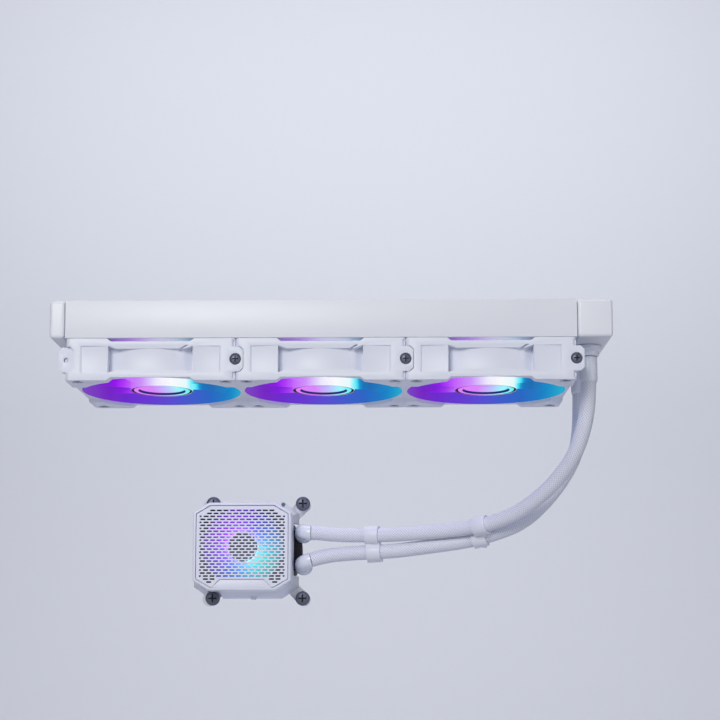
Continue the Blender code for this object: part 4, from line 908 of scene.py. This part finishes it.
def side_window():
    outline = [
        (-30 * MM, -9.7 * MM),
        (-24 * MM, -7.6 * MM),
        (24 * MM, -7.6 * MM),
        (30 * MM, -9.7 * MM),
        (30 * MM, 9.7 * MM),
        (24 * MM, 7.6 * MM),
        (-24 * MM, 7.6 * MM),
        (-30 * MM, 9.7 * MM),
    ]
    return moved(slab([outline], 48 * MM, 61 * MM), TO_MINUS_Y)

def pad_gap(side):
    plane = side * HIGH
    outline = [
        (-32.2 * MM, plane + side * MM),
        (-30.9 * MM, plane),
        (-28 * MM, plane - side * 2.2 * MM),
        (28 * MM, plane - side * 2.2 * MM),
        (30.9 * MM, plane),
        (32.2 * MM, plane + side * MM),
    ]
    return moved(slab([outline], 46 * MM, 61 * MM), TO_MINUS_Y)

def box_step(side):
    """A shallow wedge: flush beside the window, sunk towards the corner."""
    edge = HALF
    outline = [
        (side * 30.4 * MM, -edge - MM),
        (side * 50.6 * MM, -edge - MM),
        (side * 49.6 * MM, -edge),
        (side * 48.4 * MM, -edge + 1.1 * MM),
        (side * 30.4 * MM, -edge + 0.25 * MM),
    ]
    return slab([outline], -9.5 * MM, 9.5 * MM)

def link_outline(reach, root, spare):
    half = 6.3 * MM + spare
    outer = half + 2.6 * MM
    tip = reach + spare
    return [
        (-root, -outer),
        (tip - 2.6 * MM, -outer),
        (tip, -half),
        (tip, half),
        (tip - 2.6 * MM, outer),
        (-root, outer),
    ]

def link_layer(outline, x, front, thickness):
    near = HALF - front
    mesh = moved(slab([outline], near - thickness, near), TO_MINUS_Y)
    return moved(mesh, offset(x, 0, 0))

def mirrored(outline):
    return [(-x, y) for x, y in reversed(outline)]

def link_notch(side):
    low = side * 9.3 * MM
    high = side * 13.7 * MM
    return block((57.9 * MM, -61 * MM, min(low, high)), (61 * MM, -57.8 * MM, max(low, high)))

def screw_well(x):
    profile = [
        (0, MM),
        (4.2 * MM, MM),
        (4.2 * MM, -1.5 * MM),
        (1.75 * MM, -1.5 * MM),
        (1.75 * MM, -8.5 * MM),
        (0, -8.5 * MM),
    ]
    mesh = moved(turned(profile, 32), TO_MINUS_Y)
    return moved(mesh, offset(x, -HALF, 0))

def mouth():
    """The flared mouth on the underside."""
    return turned(
        [
            (0, MOUTH_TOP),
            (BORE, MOUTH_TOP),
            (BORE + 1.1 * MM, LOW - 0.1 * MM),
            (BORE + 1.1 * MM, LOW - MM),
            (0, LOW - MM),
        ],
        BORE_SIDES,
    )

def window_notch():
    outline = [(21.6 * MM, 7.0 * MM), (27.0 * MM, 10.0 * MM), (24.6 * MM, 10.2 * MM), (19.8 * MM, 7.2 * MM)]
    return four_sides(lambda: moved(slab([outline], 56 * MM, 61 * MM), TO_MINUS_Y))

def carrier():
    outline = []
    half = 3 * MM
    half_angle = math.degrees(math.asin(half / (22.5 * MM)))
    for i in range(4):
        middle = 45 + 90 * i
        turn = Matrix.Rotation(math.radians(middle), 2)
        outline += [tuple(turn @ Vector((62 * MM, -half))), tuple(turn @ Vector((62 * MM, half)))]
        outline += arc(22.5 * MM, middle + half_angle, middle + 90 - half_angle, 16)
    return slab([outline, circle(1.9 * MM, 24)], 9.6 * MM, 12.6 * MM)

def frame_mesh():
    corner = HALF - 3.5 * MM
    outline = []
    for quarter, (x, y) in enumerate([(1, 1), (-1, 1), (-1, -1), (1, -1)]):
        outline += arc(3.5 * MM, 90 * quarter, 90 * quarter + 90, 6, x * corner, y * corner)
    holes = [circle(BORE, BORE_SIDES)]
    for x in (-52.5 * MM, 52.5 * MM):
        for y in (-52.5 * MM, 52.5 * MM):
            holes.append(circle(2.2 * MM, 24, x, y))
    body = slab([outline, *holes], LOW, HIGH)
    windows = combined(
        four_sides(side_window), (CUT, cylinder(59.8 * MM, -50 * MM, 50 * MM, BORE_SIDES))
    )
    pads = merged(four_sides(lambda: pad_gap(1)), four_sides(lambda: pad_gap(-1)))
    boxes = merged(four_sides(lambda: box_step(1)), four_sides(lambda: box_step(-1)))
    pocket = link_outline(5.4 * MM, MM, 0.35 * MM)
    cuts = merged(
        link_layer(pocket, -HALF, -MM, 3.7 * MM),
        link_layer(mirrored(pocket), HALF, 2.4 * MM, 5.6 * MM),
        link_notch(1),
        link_notch(-1),
    )
    tab_shape = link_outline(5.4 * MM, 8 * MM, 0)
    tab = link_layer(tab_shape, HALF, 0, 2.4 * MM)
    lug = link_layer(mirrored(tab_shape), -HALF, 2.7 * MM, 5 * MM)
    wells = []
    for x in (-52.5 * MM, 52.5 * MM):
        for y in (-52.5 * MM, 52.5 * MM):
            wells.append(cylinder(4.1 * MM, LOW - MM, LOW + 2.6 * MM, 32, x, y))
    mesh = combined(
        body,
        (CUT, windows),
        (CUT, pads),
        (CUT, boxes),
        (CUT, cuts),
        (ADD, tab),
        (ADD, lug),
        (CUT, merged(screw_well(HALF), screw_well(-HALF))),
        (CUT, merged(*wells)),
        (ADD, carrier()),
        (CUT, mouth()),
        (CUT, window_notch()),
    )
    mesh = soft_edges(mesh, 0.35 * MM, 2, 40)
    # Painted light: the bore's inner wall takes the blades' glow, the fans' light falling on the frame
    for polygon in mesh.polygons:
        centre = polygon.center
        flat = abs(polygon.normal.z) < 0.3
        inside = math.hypot(centre.x, centre.y) < BORE + 0.1 * MM
        if flat and inside and MOUTH_TOP - 0.1 * MM < centre.z < 9 * MM:
            polygon.material_index = 1
    return mesh

def blade_point(blade, across, along):
    radius = 22.4 * MM + across * (57.2 * MM - 22.4 * MM)
    sweep = math.radians(20) * across ** 1.5
    span = math.radians(47 - 2 * across)
    angle = blade * 2 * math.pi / 7 + sweep + (along - 0.5) * span
    rise = (15.5 - 4.0 * across) * MM
    height = -1.5 * MM + (0.5 - along) * rise + 2.0 * MM * math.sin(math.pi * along)
    return Vector((radius * math.cos(angle), radius * math.sin(angle), height))

def blades_mesh():
    steps = 15
    shape = bmesh.new()
    for blade in range(7):
        rows = []
        for i in range(steps):
            rows.append(
                [
                    shape.verts.new(blade_point(blade, i / (steps - 1), j / (steps - 1)))
                    for j in range(steps)
                ]
            )
        for low, high in zip(rows, rows[1:]):
            for i in range(steps - 1):
                shape.faces.new((low[i], high[i], high[i + 1], low[i + 1]))
    obj = scratch(made(shape))
    solid = obj.modifiers.new("thickness", "SOLIDIFY")
    solid.thickness = 1.4 * MM
    solid.offset = 0
    bevel = obj.modifiers.new("rim", "BEVEL")
    bevel.width = 0.5 * MM
    bevel.segments = 2
    bevel.limit_method = "ANGLE"
    bevel.angle_limit = math.radians(60)
    return taken(obj)

def rotor_mesh():
    cup = turned(
        [
            (0, -4.4 * MM),
            (21.2 * MM, -4.4 * MM),
            (21.2 * MM, 8.2 * MM),
            (23 * MM, 8.2 * MM),
            (23 * MM, -12.3 * MM),
            (22.3 * MM, -12.3 * MM),
            (22.2 * MM, -12.0 * MM),
            (20.9 * MM, -12.0 * MM),
            (20.9 * MM, -6.0 * MM),
            (0, -6.0 * MM),
        ],
        112,
    )
    cup = soft_edges(cup, 0.12 * MM, 2, 40)
    for polygon in cup.polygons:
        centre = polygon.center
        if centre.z < -5 * MM and math.hypot(centre.x, centre.y) < 22.25 * MM:
            polygon.material_index = 1
    mesh = merged(blades_mesh(), cup)
    return mesh

def hub_cap():
    """Ring and dish; the step between them is a darker strip of painted shade."""
    profile = [
        (0, -6.3 * MM),
        (20.6 * MM, -6.3 * MM),
        (20.6 * MM, -11.9 * MM),
        (20.2 * MM, -12.3 * MM),
        (17.9 * MM, -12.3 * MM),
        (17.5 * MM, -12.2 * MM),
        (17.1 * MM, -10.8 * MM),
        (16.4 * MM, -10.7 * MM),
        (8 * MM, -11.1 * MM),
        (0, -11.3 * MM),
    ]
    mesh = turned(profile, 112)
    # Painted shade: a dark blue strip on the step between ring and dish
    for polygon in mesh.polygons:
        centre = polygon.center
        radius = math.hypot(centre.x, centre.y)
        if 16.6 * MM < radius < 17.6 * MM and centre.z < -8 * MM:
            polygon.material_index = 1
    return mesh

def cross_recess(width, depth, top):
    half = width / 2
    arm = width / 10
    low = top - depth
    along = block((-half, -arm, low), (half, arm, top + MM))
    across = block((-arm, -half, low), (arm, half, top + MM))
    return combined(along, (ADD, across))

def screw_mesh(head_radius, head_height, shank_radius, end, recess):
    """A round-headed cross screw: the head's underside is at zero, the head points to +Z."""
    crown = head_height - 0.9 * MM
    profile = [
        (0, head_height + 0.12 * MM),
        (head_radius * 0.55, head_height),
        (head_radius - 0.9 * MM, crown + 0.55 * MM),
        (head_radius - 0.15 * MM, crown - 0.1 * MM),
        (head_radius, crown - 0.5 * MM),
        (head_radius, 0.15 * MM),
        (head_radius - 0.15 * MM, 0),
        (shank_radius, 0),
    ]
    turns = int(-end / (0.5 * MM))
    for i in range(turns):
        top = -i * 0.5 * MM
        profile.append((shank_radius, top - 0.12 * MM))
        profile.append((shank_radius - 0.22 * MM, top - 0.3 * MM))
    profile += [(shank_radius - 0.3 * MM, end), (0, end)]
    depth = 1.5 * MM
    mesh = combined(turned(profile, 36), (CUT, cross_recess(recess, depth, head_height)))
    # Painted shade: the faces inside the cross recess get a dark material
    for polygon in mesh.polygons:
        x, y, z = polygon.center
        within = math.hypot(x, y) < recess / 2 + 0.05 * MM
        if within and head_height - depth - 0.05 * MM < z < head_height - 0.1 * MM:
            polygon.material_index = 1
    return mesh

def make_fans():
    shell = frame_mesh()
    rotor = rotor_mesh()
    cap = hub_cap()
    link = screw_mesh(3.9 * MM, 1.7 * MM, 1.45 * MM, -6.2 * MM, 4.2 * MM)
    mount = screw_mesh(3.6 * MM, 2.0 * MM, 1.75 * MM, -24 * MM, 3.6 * MM)
    for place, x in FANS.items():
        centre = offset(x, 0, FAN_Z)
        # The frame's second material is painted light from the fans on the bore's wall
        piece(
            f"moulded_frame_{place}", shell.copy(), [FRAME_WHITE, BLADE_LIGHT],
            nodes=[f"fan_frame_{place}"], matrix=centre,
        )
        body = f"rotor_{place}"
        piece(
            f"lit_rotor_{place}", rotor.copy(), [BLADE_LIGHT, HUB_BLACK], body=body,
            nodes=[f"fan_rotor_{place}"], matrix=centre,
        )
        piece(
            f"lit_hub_{place}", cap.copy(), [HUB_LIGHT, HUB_STEP_SHADE], body=body,
            nodes=[f"fan_hub_cap_{place}"], matrix=centre, angle=50,
        )
        spot = centre @ offset(HALF, -HALF + 1.2 * MM, 0) @ TO_MINUS_Y
        piece(
            f"cross_screw_{place}", link.copy(), [DARK_STEEL, PAINTED_RECESS_SHADE], nodes=[f"link_screw_{place}"],
            matrix=spot,
        )
        for i, sx in enumerate((-1, 1)):
            for j, sy in enumerate((-1, 1)):
                spot = centre @ offset(sx * 52.5 * MM, sy * 52.5 * MM, LOW + 2.5 * MM)
                spot = spot @ rotation(180, "X")
                piece(
                    f"fan_screw_{place}_{2 * i + j + 1}", mount.copy(), [DARK_STEEL, PAINTED_RECESS_SHADE],
                    matrix=spot,
                )

make_fans()

# ---------------------------------------------------------------- pump

CAP_CHAMFER = (12 * MM, 7.5 * MM)
SKIRT_CHAMFER = (13.3 * MM, 9.3 * MM)

UPPER_POST = 14.0 * MM
LOWER_POST = -11.6 * MM

def cap_outline(inset, growth=(0.0, 0.0), chamfer=CAP_CHAMFER):
    width = 76 * MM - 2 * inset + 2 * growth[0]
    height = 68 * MM - 2 * inset + 2 * growth[1]
    trim = 0.41 * inset
    return octagon(width, height, (chamfer[0] - trim, chamfer[1] - trim), CAP_X, CAP_Y)

def screw_places():
    return {
        "upper_left": (-33.5 * MM, 37.5 * MM),
        "upper_right": (37.5 * MM, 37.5 * MM),
        "lower_left": (-33.5 * MM, -37.5 * MM),
        "lower_right": (37.5 * MM, -37.5 * MM),
    }

def make_cap():
    outer = slab([cap_outline(0)], 27 * MM, 53 * MM)
    outer = soft_edges(outer, 1.0 * MM, 3, 60)
    room = slab([cap_outline(2 * MM)], 26 * MM, 49.8 * MM)
    window = slab([cap_outline(3.2 * MM)], 49 * MM, 50.8 * MM)
    seat = slab([cap_outline(2 * MM)], 50.6 * MM, 54 * MM)
    mesh = combined(outer, (CUT, room), (CUT, window), (CUT, seat))
    mesh = soft_edges(mesh, 0.18 * MM, 1, 60)
    piece("moulded_cap", mesh, WHITE, nodes=["pump_cap"], matrix=PUMP)

def slot_outline(x, y, length):
    half = length / 2
    radius = 0.64 * MM
    flat = half - radius
    points = arc(radius, -90, 90, 4, x + flat, y)
    points += arc(radius, 90, 270, 4, x - flat, y)
    return points

def nameplate_outline(spare):
    top = CAP_Y - 26.0 * MM + spare
    low = CAP_Y - 31.97 * MM - spare
    return [
        (CAP_X - 23.4 * MM - spare, low),
        (CAP_X + 23.4 * MM + spare, low),
        (CAP_X + 16.6 * MM + spare, top),
        (CAP_X - 16.6 * MM - spare, top),
    ]

def make_grille():
    full = 4.15 * MM
    pitch = 5.1 * MM
    slots = []
    for row in range(25):
        y = CAP_Y + 27.9 * MM - row * 2.314 * MM
        if row == 0:
            places = [(k - 4.5) * pitch for k in range(10)]
        elif row == 1:
            places = [(k - 5) * pitch for k in range(11)]
        elif row == 23:
            places = [side * k * pitch for side in (-1, 1) for k in (4.5, 5.5)]
        elif row == 24:
            places = [side * 5 * pitch for side in (-1, 1)]
        elif row % 2 == 0:
            places = [(k - 5.5) * pitch for k in range(12)]
            for side in (-1, 1):
                slots.append(slot_outline(CAP_X + side * 32.4 * MM, y, 1.8 * MM))
        else:
            places = [(k - 6) * pitch for k in range(13)]
        for x in places:
            slots.append(slot_outline(CAP_X + x, y, full))
    mesh = slab([cap_outline(2.6 * MM), *slots], 51.0 * MM, 52.6 * MM)
    groove_outer = slab([nameplate_outline(0.7 * MM)], 51.2 * MM, 53 * MM)
    mesh = combined(mesh, (CUT, groove_outer))
    piece("slotted_grille", mesh, WHITE, nodes=["cap_grille"], matrix=PUMP)
    plate = soft_edges(slab([nameplate_outline(0)], 51.25 * MM, 52.9 * MM), 0.12 * MM, 2, 60)
    piece("blank_nameplate", plate, WHITE, nodes=["nameplate"], matrix=PUMP)

def make_pump_light():
    ring = slab([circle(31 * MM, 96, CAP_X, CAP_Y), circle(12 * MM, 64, CAP_X, CAP_Y)], 45 * MM, 46 * MM)
    lip = turned(
        [
            (11.6 * MM, 45 * MM),
            (11.6 * MM, 47.2 * MM),
            (12.6 * MM, 47.2 * MM),
            (12.6 * MM, 45 * MM),
        ],
        64,
        closed=True,
    )
    lip = moved(lip, offset(CAP_X, CAP_Y, 0))
    for polygon in lip.polygons:
        polygon.material_index = 1
    mesh = merged(ring, lip)
    bright = emission_over_gloss("lit_pump_lip", pump_light, 2.0)
    piece(
        "light_guide", mesh, [PUMP_LIGHT_MATERIAL, bright], nodes=["light_diffuser"],
        matrix=PUMP,
    )

def make_housing():
    outer = loft(cap_outline(0, (4 * MM, 4.8 * MM), SKIRT_CHAMFER), cap_outline(0), 11 * MM, 26.7 * MM)
    nub = block(
        (CAP_X + 4.4 * MM, CAP_Y - 39.6 * MM, 11.6 * MM), (CAP_X + 8.2 * MM, CAP_Y - 36 * MM, 15 * MM),
    )
    inner = loft(
        cap_outline(2.2 * MM, (4 * MM, 4.8 * MM), SKIRT_CHAMFER), cap_outline(2.2 * MM), 10 * MM, 27.7 * MM
    )
    notch = block((25.9 * MM, -19.6 * MM, 10 * MM), (38 * MM, 22 * MM, 24.7 * MM))
    wells = []
    for x, y in screw_places().values():
        wells.append(cylinder(6.8 * MM, 10 * MM, 28 * MM, 48, x, y))
    mesh = combined(
        outer, (ADD, nub), (CUT, inner), (CUT, notch), (CUT, merged(*wells))
    )
    mesh = soft_edges(mesh, 0.4 * MM, 2, 40)
    piece("moulded_housing", mesh, WHITE, nodes=["pump_housing"], matrix=PUMP)

def make_bracket():
    low = 7.7 * MM
    high = 10.7 * MM
    mesh = slab([circle(37 * MM, 96), circle(31.6 * MM, 96)], low, high)
    steps = []
    slots = []
    for x_side in (-1, 1):
        for y_side in (-1, 1):
            direction = math.degrees(math.atan2(y_side, x_side))
            turn = Matrix.Rotation(math.radians(direction), 2)
            start = turn @ Vector((34 * MM, 0))
            sideways = turn @ Vector((0, 4.6 * MM))
            tip = 37.5 * MM
            outline = [tuple(start - sideways)]
            outline += arc(5.6 * MM, direction - 78, direction + 78, 20, x_side * tip, y_side * tip)
            outline.append(tuple(start + sideways))
            steps.append((ADD, slab([outline], low, high)))
            left = min(x_side * tip, x_side * (tip - 4 * MM))
            slot_shape = arc(2.4 * MM, 90, 270, 12, left, y_side * tip)
            slot_shape += arc(2.4 * MM, -90, 90, 12, left + 4 * MM, y_side * tip)
            slots.append(slab([slot_shape], low - MM, high + MM))
    mesh = combined(mesh, *steps, (CUT, merged(*slots)))
    mesh = soft_edges(mesh, 0.35 * MM, 2, 40)
    piece("painted_bracket", mesh, PAINT, nodes=["mounting_bracket"], matrix=PUMP)

def make_base():
    profile = [
        (0, 25.5 * MM),
        (11 * MM, 25.5 * MM),
        (11 * MM, 14 * MM),
        (28 * MM, 14 * MM),
        (28 * MM, 22 * MM),
        (31 * MM, 22 * MM),
        (31 * MM, 5.4 * MM),
        (22 * MM, 5.4 * MM),
        (22 * MM, 12 * MM),
        (9.5 * MM, 12 * MM),
        (9.5 * MM, 24 * MM),
        (0, 24 * MM),
    ]
    port_block = block((26 * MM, -14.9 * MM, 11 * MM), (36.5 * MM, 17.1 * MM, 15 * MM))
    seats = [cylinder(7 * MM, 11 * MM, 15 * MM, 48, 37.9 * MM, y) for y in (UPPER_POST, LOWER_POST)]
    mesh = combined(
        turned(profile, 96), (ADD, port_block), (ADD, seats[0]), (ADD, seats[1])
    )
    piece(
        "moulded_base", soft_edges(mesh, 0.4 * MM, 2, 40), BLACK, nodes=["pump_base"],
        matrix=PUMP,
    )

def make_plate():
    outline = []
    for quarter, (x, y) in enumerate([(1, 1), (-1, 1), (-1, -1), (1, -1)]):
        outline += arc(4 * MM, 90 * quarter, 90 * quarter + 90, 8, x * 24 * MM, y * 24 * MM)
    mesh = slab([outline], 0, 3.6 * MM)
    fins = []
    for i in range(41):
        x = (i - 20) * 0.6 * MM
        fins.append(block((x - 0.12 * MM, -13 * MM, 3.4 * MM), (x + 0.12 * MM, 13 * MM, 6.2 * MM)))
    mesh = soft_edges(mesh, 0.35 * MM, 2, 40)
    piece(
        "machined_plate", merged(mesh, *fins), COPPER, nodes=["cold_plate"],
        matrix=PUMP,
    )

def make_elbow(level, post, end, leaving):
    """A post that rises from the base and bends over into the hose."""
    start = Vector((37.7 * MM, post + 1.1 * MM, 27 * MM))
    finish = Vector(end)
    lift = Vector((0, 0, 6.2 * MM))
    pull = Vector(leaving).normalized() * 4.5 * MM
    points = [start - Vector((0, 0, 6 * MM))]
    for i in range(25):
        t = i / 24
        points.append(
            (1 - t) ** 3 * start
            + 3 * (1 - t) ** 2 * t * (start + lift)
            + 3 * (1 - t) * t * t * (finish - pull)
            + t ** 3 * finish
        )
    pipe = tube(points, 6.1 * MM, 12, (1.0, 0.94))
    stem = turned(
        [
            (0, 25.8 * MM),
            (5.9 * MM, 25.8 * MM),
            (6.4 * MM, 25.2 * MM),
            (6.4 * MM, 18.6 * MM),
            (6.9 * MM, 18.6 * MM),
            (7.3 * MM, 18.1 * MM),
            (7.3 * MM, 15.8 * MM),
            (6.9 * MM, 15.3 * MM),
            (0, 15.3 * MM),
        ],
        64,
    )
    stem = moved(stem, offset(37.9 * MM, post, 0))
    mesh = combined(pipe, (ADD, stem))
    piece(
        f"smooth_elbow_{level}", mesh, SMOOTH_WHITE, nodes=[f"elbow_{level}"],
        matrix=PUMP, angle=40,
    )

def spring_mesh():
    low = 11.5 * MM
    high = 21.2 * MM
    count = 3 * 24
    points = []
    for i in range(count + 1):
        angle = 2 * math.pi * i / 24
        points.append(
            (3.3 * MM * math.cos(angle), 3.3 * MM * math.sin(angle), low + (high - low) * i / count),
        )
    return tube(points, 0.42 * MM, 4)

def make_screws():
    screw = screw_mesh(5.65 * MM, 4.0 * MM, 2.0 * MM, -25 * MM, 6.4 * MM)
    spring = spring_mesh()
    for corner, (x, y) in screw_places().items():
        place = PUMP @ offset(x, y, 22 * MM)
        name = f"mount_screw_{corner}"
        piece(
            f"knurled_{name}", screw.copy(), [DARK_STEEL, PAINTED_RECESS_SHADE], body=name, nodes=[name],
            matrix=place,
        )
        place = PUMP @ offset(x, y, 0)
        piece(
            f"coil_{corner}", spring.copy(), STEEL, nodes=[f"screw_spring_{corner}"],
            matrix=place, angle=60,
        )

def make_gland():
    profile = [
        (0, 2.6 * MM),
        (1.1 * MM, 2.6 * MM),
        (1.5 * MM, 2.2 * MM),
        (1.5 * MM, 0.3 * MM),
        (0, 0.3 * MM),
    ]
    direction = Vector((0.544, 0.839, 0.324)).normalized()
    place = offset(CAP_X + 29.2 * MM, CAP_Y + 34.6 * MM, 21 * MM)
    turn = direction.to_track_quat("Z", "Y").to_matrix().to_4x4()
    piece(
        "rubber_gland", turned(profile, 32), GLAND, nodes=["cable_gland"],
        matrix=PUMP @ place @ turn,
    )

make_cap()
make_grille()
make_pump_light()
make_housing()
make_bracket()
make_base()
make_plate()
make_elbow("upper", UPPER_POST, (44.6 * MM, 13.1 * MM, 37 * MM), (1, 0.02, 0))
make_elbow("lower", LOWER_POST, (44.7 * MM, -8.1 * MM, 37 * MM), (1, 0.27, 0))
make_screws()
make_gland()

# ---------------------------------------------------------------- CAD nodes that stay

KEPT = {"tube_bank": PAINT, "seal_ring": RUBBER, "led_board": BOARD, "pump_stator": STEEL, "impeller": BLACK}
for fan in FANS:
    KEPT[f"fan_stator_{fan}"] = BLACK
    KEPT[f"fan_light_board_{fan}"] = BOARD
    KEPT[f"fan_shaft_{fan}"] = STEEL
for node, material in KEPT.items():
    obj = bpy.data.objects[node]
    for slot in obj.material_slots:
        slot.material = material

# ---------------------------------------------------------------- stage and light

def make_stage():
    """A pale floor that sweeps up into a backdrop."""
    profile = [(-4.0, -0.47), (1.6, -0.47)]
    profile += [
        (1.6 + 0.8 * math.sin(a), -0.47 + 0.8 * (1 - math.cos(a))) for a in [math.radians(9 * i) for i in range(1, 11)]
    ]
    profile.append((2.4, 3.5))
    vertices = []
    for x in (-5.0, 5.0):
        vertices += [(x, y, z) for y, z in profile]
    count = len(profile)
    faces = [(i, i + 1, count + i + 1, count + i) for i in range(count - 1)]
    mesh = bpy.data.meshes.new("floor")
    mesh.from_pydata(vertices, [], faces)
    mesh.shade_smooth()
    floor = bpy.data.objects.new("studio_floor", mesh)
    bpy.context.scene.collection.objects.link(floor)
    material = surface("pale_floor", (192, 195, 205), 0.9, depth=0.0, vary=0.01)
    mesh.materials.append(material)

def area_light(name, place, target, size, power, colour):
    data = bpy.data.lights.new(name, "AREA")
    data.shape = "RECTANGLE"
    data.size, data.size_y = size
    data.energy = power
    data.color = colour
    light = bpy.data.objects.new(name, data)
    bpy.context.scene.collection.objects.link(light)
    light.location = place
    aim = Vector(target) - Vector(place)
    light.rotation_euler = aim.to_track_quat("-Z", "Y").to_euler()

def make_lights():
    world = bpy.data.worlds.new("studio")
    bpy.context.scene.world = world
    world.use_nodes = True
    background = world.node_tree.nodes["Background"]
    background.inputs["Color"].default_value = (0.93, 0.95, 1.0, 1.0)
    background.inputs["Strength"].default_value = 0.135
    area_light("key", (-0.55, -1.75, 0.62), (0, 0, -0.1), (0.9, 0.7), 21, (1.0, 0.99, 0.98))
    area_light("fill", (1.4, -1.3, 0.0), (0.05, 0, -0.1), (0.9, 0.9), 5.5, (0.95, 0.97, 1.0))
    area_light("top", (0.0, 0.2, 1.3), (0, 0.05, 0), (1.4, 1.0), 8.5, (1.0, 1.0, 1.0))
    area_light("under", (0.0, 0.35, -0.44), (0, 0.0, -0.05), (0.5, 0.3), 0.25, (0.5, 0.5, 1.0))
    area_light("backdrop", (0.0, 1.0, 1.4), (0, 2.4, 0.3), (3.0, 1.0), 40, (1.0, 1.0, 1.0))

make_stage()
make_lights()
bpy.context.scene.view_settings.view_transform = "Standard"
